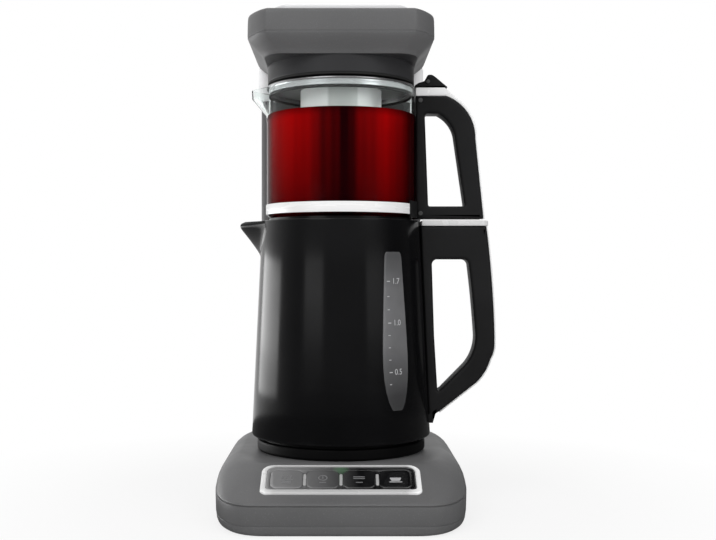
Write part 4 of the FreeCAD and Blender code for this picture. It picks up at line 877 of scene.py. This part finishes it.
# A share of the beak's height, and how far out the nose stands there.
BEAK_REACH = [(0, 0.0), (0.08, 0.7), (0.2, 3.0), (0.35, 6.4), (0.5, 10.0), (0.65, 13.8), (0.76, 16.6), (0.84, 18.3),
              (0.9, 18.6), (0.96, 17.4), (1.0, 14.6)]


def beak_mesh():
    """The beak, a thin shell on the kettle's left."""
    rows = []
    for k in range(BEAK.levels + 1):
        t = k / BEAK.levels
        height = BEAK.low + (BEAK.high - BEAK.low) * t
        half = BEAK.half_width * min(sqrt(t) * 1.02 + 0.02, 1.0)
        row = []
        for c in range(-BEAK.across, BEAK.across + 1):
            s = c / BEAK.across
            y = half * s
            wall_x = -sqrt(kettle_radius(height) ** 2 - y ** 2)
            nose = (1 - abs(s) ** 1.15) ** 1.25
            x = wall_x + BEAK.root - (read_off(BEAK_REACH, t) + BEAK.root) * nose
            row.append((x, y * (1 - 0.10 * nose), height))
        rows.append(row)
    mesh = sheet(rows)
    bmesh.ops.remove_doubles(mesh, verts=mesh.verts, dist=0.01)
    bmesh.ops.recalc_face_normals(mesh, faces=mesh.faces)
    if sum(f.normal.x for f in mesh.faces) > 0:
        bmesh.ops.reverse_faces(mesh, faces=mesh.faces)
    bmesh.ops.solidify(mesh, geom=mesh.faces[:], thickness=BEAK.wall)
    return mesh


piece("beak", beak_mesh(), "kettle", "black_gloss", ["kettle_spout"], 50)

# ---------------- handles


def from_foot(reach):
    """How far out from the axis, counted from the kettle's foot."""
    return KETTLE.foot_radius + reach


def below_top(drop):
    """A height, counted down from the kettle's top."""
    return KETTLE.top - drop


SWEEP = 900  # radius of the long gentle bow of the grip
ELBOW = 44  # radius of the turn below it
TRIM = 1.3  # how far the pale trim stands out of a handle
elbow, heel = (from_foot(38), below_top(135.5)), (from_foot(7), below_top(159.5))
outer, outer_top, inner = from_foot(53.6), from_foot(46.8), from_foot(37.5)
belly, waist, top, root = below_top(110), below_top(96), below_top(4), below_top(165.4)
grip = soften([
    (66.5, top), (kettle_radius(root) - 1, root), (from_foot(-2), root, 1), (*heel, 3), (*elbow, 0, ELBOW),
    (outer, belly, 30), (outer, waist, 0, SWEEP), (outer_top, top, 1.2)])
hand_gap = soften([
    (from_foot(1), below_top(32), 4.5), (from_foot(3), waist, 0), (from_foot(5.8), below_top(142.5), 2.5),
    (from_foot(8.8), below_top(140.5), 0), (from_foot(28.5), below_top(120.5), 0, 36),
    (inner, waist, 0, SWEEP), (from_foot(31.6), below_top(32), 5)])
piece("handle_kettle", slab([grip, hand_gap], -12, 12, 3.2, across_y, 5), "kettle", "black_satin",
      ["kettle_handle"], 50)
strip = soften([
    heel, (heel[0] + TRIM * 0.6, heel[1] - TRIM * 0.8), (elbow[0] + TRIM * 0.6, elbow[1] - TRIM * 0.8, 0, ELBOW + TRIM),
    (outer + TRIM, belly, 30), (outer + TRIM, waist, 0, SWEEP), (outer_top + TRIM, top - 0.1),
    (outer_top - 0.5, top - 0.1, 0, -SWEEP), (outer - 0.5, waist), (outer - 0.5, belly, 30, -ELBOW),
    (elbow[0] - 0.3, elbow[1] + 0.4)], 4)
piece("trim_kettle", slab([strip], -8.2, 8.2, 0.45, across_y, 2), "kettle", "chrome", ["kettle_handle_trim"], 50,
      material=bright_trim)
plate = soften([(67.4, -12, 1), (119.5, -12, 6), (123.5, -8, 3), (123.5, 8, 3), (119.5, 12, 6), (67.4, 12, 1)], 4)
piece("handle_plate", slab([plate], 232, 236.5, (0.4, 0.9), steps=3), "kettle", "chrome", ["kettle_handle_plate"], 50,
      material=plate_metal)

# ---------------- jug

J, BORE, RIM = 62.5, 60.3, 346.4  # the glass: its outer and inner radius, and the height of its rim
JUG_LOW, GRIP_TOP, LID_TOP = 238, 341, 348
LIP = Sizes(low=322.5, high=341, reach=12.9, half_turn=radians(24), bell=1.6, narrowing=0.12)
GLASS_HEIGHTS = [256, 280, 300, 318, 325, 332, 339]  # rows up the wall, close where the lip bends it


def spout_pull(mesh):
    """Draws the glass out into its pouring lip."""
    for vertex in mesh.verts:
        radius = hypot(vertex.co.x, vertex.co.y)
        turn = abs(atan2(vertex.co.y, -vertex.co.x))
        if vertex.co.z < LIP.low or turn > LIP.half_turn:
            continue
        rise = min((vertex.co.z - LIP.low) / (LIP.high - LIP.low), 1)
        rise = rise * rise * (3 - 2 * rise)
        bell = cos(turn / LIP.half_turn * pi / 2) ** LIP.bell
        grow = (radius + LIP.reach * rise * bell) / radius
        vertex.co.x *= grow
        vertex.co.y *= grow * (1 - LIP.narrowing * bell * rise)
    return mesh


glass = soften([
    (0, 238.1), (58.5, 238.1, 3), (J, 240.6, 3), *[(J, h) for h in GLASS_HEIGHTS], (J, RIM, 0.9),
    (BORE, RIM, 0.9), *[(BORE, h) for h in GLASS_HEIGHTS[::-1]], (BORE, 242.5, 4), (0, 241.6)], 5, closed=False)
piece("glass_jug", spout_pull(lathe(glass, SMOOTH)), "jug", "glass", ["jug_glass"], 50)
tea = soften([(0, 241.0), (60.6, 241.4, 3.5), (60.7, 250), (60.7, 324.4), (60.4, 324.8), (59.4, 324.5), (0, 324.4)], 4,
             closed=False)
piece("tea", lathe(tea), "jug", "tea")
band = soften([(62.6, 241.0), (63.3, 241.0, 0.3), (63.3, 249.5, 0.3), (62.6, 249.5)], 3)
piece("band", lathe(band, SMOOTH, closed=True), "jug", "chrome", ["jug_band"], material=polished)
lid = soften([(0, 345.7), (59.2, 345.7, 0.6), (59.4, 346.9), (60.4, 346.9), (60.4, 348.6, 0.5), (56, 349.0, 1),
              (0, 349)], 4, closed=False)
# Painted light: the lid is painted grey instead of black.
piece("lid", lathe(lid, SMOOTH), "jug", "black_satin", ["jug_lid"], material=lid_grey_painted_light)
lid_edge = soften([(58.6, 342.3), (60.15, 342.3, 0.3), (60.15, 346.6), (62.45, 346.6, 0.4), (62.45, 348.3, 0.8),
                   (59.5, 348.9, 0.3), (58.6, 346)], 4)
piece("lid_edge", lathe(lid_edge, SMOOTH, closed=True), "jug", "chrome", material=lid_metal)
piece("lid_ring", lathe(box_outline(58.4, 339.9, 60.2, 342.2, 0.6, 4), closed=True), "jug", "rubber")
basket = soften([(0, 262), (33, 262, 3), (34.2, 300), (34.2, 345.6), (33.6, 345.6), (33.4, 300), (32.2, 263, 3),
                 (0, 262.8)], 4, closed=False)
piece("infuser", lathe(basket, 128), "jug", "steel", material=basket_metal_painted_shade)

shoulder, jug_foot = (J + 25.5, GRIP_TOP), J + 56.8
jug_elbow = (J + 50, GRIP_TOP - 36)
jug_grip = soften([(J + 0.3, JUG_LOW), (jug_foot, JUG_LOW, 1.5), (*jug_elbow, 0, 37), (*shoulder, 0),
                   (J + 0.3, GRIP_TOP)])
jug_gap = soften([
    (J + 10.6, JUG_LOW + 10.4, 1.5), (jug_foot - 15.6, JUG_LOW + 10.4, 1.5), (jug_elbow[0] - 17, jug_elbow[1], 0, 26),
    (J + 18.7, GRIP_TOP - 15, 0), (J + 7.7, GRIP_TOP - 15, 2.5)])
piece("handle_jug", slab([jug_grip, jug_gap], -11, 11, 3.0, across_y, 5), "jug", "black_satin", ["jug_handle"], 50)

# The handle's foot, wrapped round the band.
CLAMP = {"half_turn": radians(27), "inside": 63.0, "outside": 64.6}
turns = [CLAMP["half_turn"] * (k / 8 - 1) for k in range(17)]
clamp = [(CLAMP[side] * cos(turn), CLAMP[side] * sin(turn))
         for side, run in (("outside", turns), ("inside", turns[::-1])) for turn in run]
piece("handle_clamp", slab([clamp], 238.2, 252, 0.35, steps=2), "jug", "black_satin")
tail = soften([
    (J + 0.3, GRIP_TOP), (*shoulder, 0, -37), jug_elbow, (jug_foot, JUG_LOW + 0.2), (jug_foot + TRIM, JUG_LOW + 0.2),
    (jug_elbow[0] + TRIM, jug_elbow[1], 0, 38), (shoulder[0] + 8, GRIP_TOP - 0.8), (shoulder[0] - 1, LID_TOP),
    (J + 0.3, LID_TOP)], 4)
piece("trim_jug", slab([tail], -8.6, 8.6, 0.5, across_y, 2), "jug", "chrome", ["jug_handle_trim"], 50,
      material=bright_trim)
lever = soften([
    (J + 3, 348.1, 0.4), (J + 27.5, 348.1, 0.4), (J + 17, 357, 1.5), (J + 14, 359, 2), (J + 10.5, 359, 2),
    (J + 7.5, 353.6, 1.5), (J + 3, 352.2, 1), (J - 0.4, 350.2, 0.5), (J - 0.4, 349.3, 0.3), (J + 2.6, 349.3, 0.3)], 5)
piece("lever", slab([lever], -8, 8, 1.2, across_y, 4), "jug", "black_satin", ["lid_lever"], 50)

# ---------------- stage
# Sizes from here on are in metres.

# The ground is white to the camera, least so near the object, where its shadow lies.
FLOOR = Sizes(radius=0.44, fade_start=0.2, fade_end=0.42, least_white=0.8, grey=0.8, mirrored=0.1)


def seen(tree, path):
    """1 for what the camera sees, straight or through glass."""
    return maths(tree, "MAXIMUM", path["Is Camera Ray"], path["Is Transmission Ray"])


def floor_material():
    """Pale ground that stays white to the camera and through glass, with a part of its shadow kept."""
    material = bpy.data.materials.new("floor")
    material.use_nodes = True
    tree = material.node_tree
    tree.nodes.clear()
    path = add(tree, "LightPath").outputs
    own = blend_colour(tree, path["Is Glossy Ray"], (FLOOR.grey,) * 3, (FLOOR.mirrored,) * 3)
    ground = add(tree, "BsdfDiffuse", Color=own).outputs["BSDF"]
    light = add(tree, "Emission", Color=(1, 1, 1, 1), Strength=1).outputs["Emission"]
    reach = measure(tree, "LENGTH", object_coordinates(tree))
    white = spread(tree, reach, FLOOR.least_white, 1.0, FLOOR.fade_start, FLOOR.fade_end)
    share = times(tree, seen(tree, path), white)
    add(tree, "OutputMaterial", Surface=blend_shaders(tree, share, ground, light))
    return material


floor_mesh = bmesh.new()
bmesh.ops.create_circle(floor_mesh, cap_ends=True, radius=FLOOR.radius, segments=128)
floor_data = bpy.data.meshes.new("floor")
floor_mesh.to_mesh(floor_data)
floor_mesh.free()
floor_data.materials.append(floor_material())
floor = linked("floor", floor_data)
floor.location = (AXIS_X, 0, 0)

world = bpy.data.worlds.new("studio")
bpy.context.scene.world = world
world.use_nodes = True
sky = world.node_tree
sky.nodes.clear()


def background(strength):
    """White light of a strength, a number or a socket."""
    return add(sky, "Background", Color=(1, 1, 1, 1), Strength=strength).outputs["Background"]


way_x, way_y, way_z = axes(sky, add(sky, "TexCoord").outputs["Generated"])
path = add(sky, "LightPath").outputs
# What gloss mirrors: a studio bright behind the object, dark on its right, and dim above the horizon in front.
right_side = times(sky, spread(sky, way_x, 0.0, 1.0, 0.2, 0.5), spread(sky, way_y, 0.0, 1.0, -0.65, -0.3))
dimmed = spread(sky, right_side, 1.0, 0.08, 0.0, 1.0)
behind = times(sky, spread(sky, way_y, 0.16, 0.9, -0.45, 0.5), dimmed)
lifted = times(sky, spread(sky, way_z, 0.0, 0.22, -0.03, 0.15), spread(sky, way_y, 1.0, 0.0, -0.7, -0.2))
mirrored = background(maths(sky, "ADD", behind, lifted))
# What lights the object from all round, most from the front and from below.
around = background(times(sky, spread(sky, way_y, 0.85, 0.38, -0.95, 0.1), spread(sky, way_z, 1.3, 1.0, -0.25, 0.0)))
lit = blend_shaders(sky, path["Is Glossy Ray"], around, mirrored)
add(sky, "OutputWorld", Surface=blend_shaders(sky, seen(sky, path), lit, background(1.0)))

# Soft lamps: place, the height on the axis that they point at, width, height, and power in watts.
LAMPS = {
    "key": ((-0.75, -1.1, 1.35), 0.2, 0.9, 0.9, 6.8),
    "fill": ((1.1, -1.1, 1.3), 0.2, 0.9, 0.9, 4.4),
    "over": ((0.0, 0.1, 1.5), 0.2, 1.2, 1.2, 7),
    "left_strip": ((-0.9, 0.37, 0.182), 0.182, 0.82, 0.17, 1.95),
    "left_strip_low": ((-0.9, 0.37, 0.05), 0.05, 0.82, 0.094, 0.66),
    "left_band": ((-0.8, -1.05, 0.275), 0.2, 0.6, 0.18, 0.42),
    "right_band": ((0.95, -0.9, 0.27), 0.2, 0.6, 0.2, 0.25),
    "right_low": ((0.85, -0.8, 0.22), 0.3, 0.5, 0.3, 1.2),
}
for name, (where, aim, width, height, power) in LAMPS.items():
    light = bpy.data.lights.new(name, "AREA")
    light.shape, light.size, light.size_y, light.energy = "RECTANGLE", width, height, power
    lamp = linked(name, light)
    lamp.location = where
    lamp.rotation_euler = (Vector((AXIS_X, 0, aim)) - Vector(where)).to_track_quat("-Z", "Y").to_euler()
    lamp.visible_glossy = name != "right_low"  # this one lifts the shade, and isn't mirrored

# ---------------- camera

IMAGE_WIDTH = 716
SENSOR = 36
FOCAL, AXIS_PIXEL = 1084, 341  # the focal length, and where the axis stands across the picture, both in pixels
EYE = (0, -917, 195)  # in millimetres about the kettle's axis
camera_data = bpy.data.cameras.new("camera")
camera_data.sensor_width = SENSOR
camera_data.lens = SENSOR * FOCAL / IMAGE_WIDTH
camera_data.shift_x = (IMAGE_WIDTH / 2 - AXIS_PIXEL) / IMAGE_WIDTH
camera_data.clip_start, camera_data.clip_end = 0.05, 50
camera = linked("camera", camera_data)
camera.location = place(EYE)
camera.rotation_euler = (pi / 2, 0, 0)
bpy.context.scene.camera = camera
bpy.context.scene.view_settings.view_transform = "Standard"
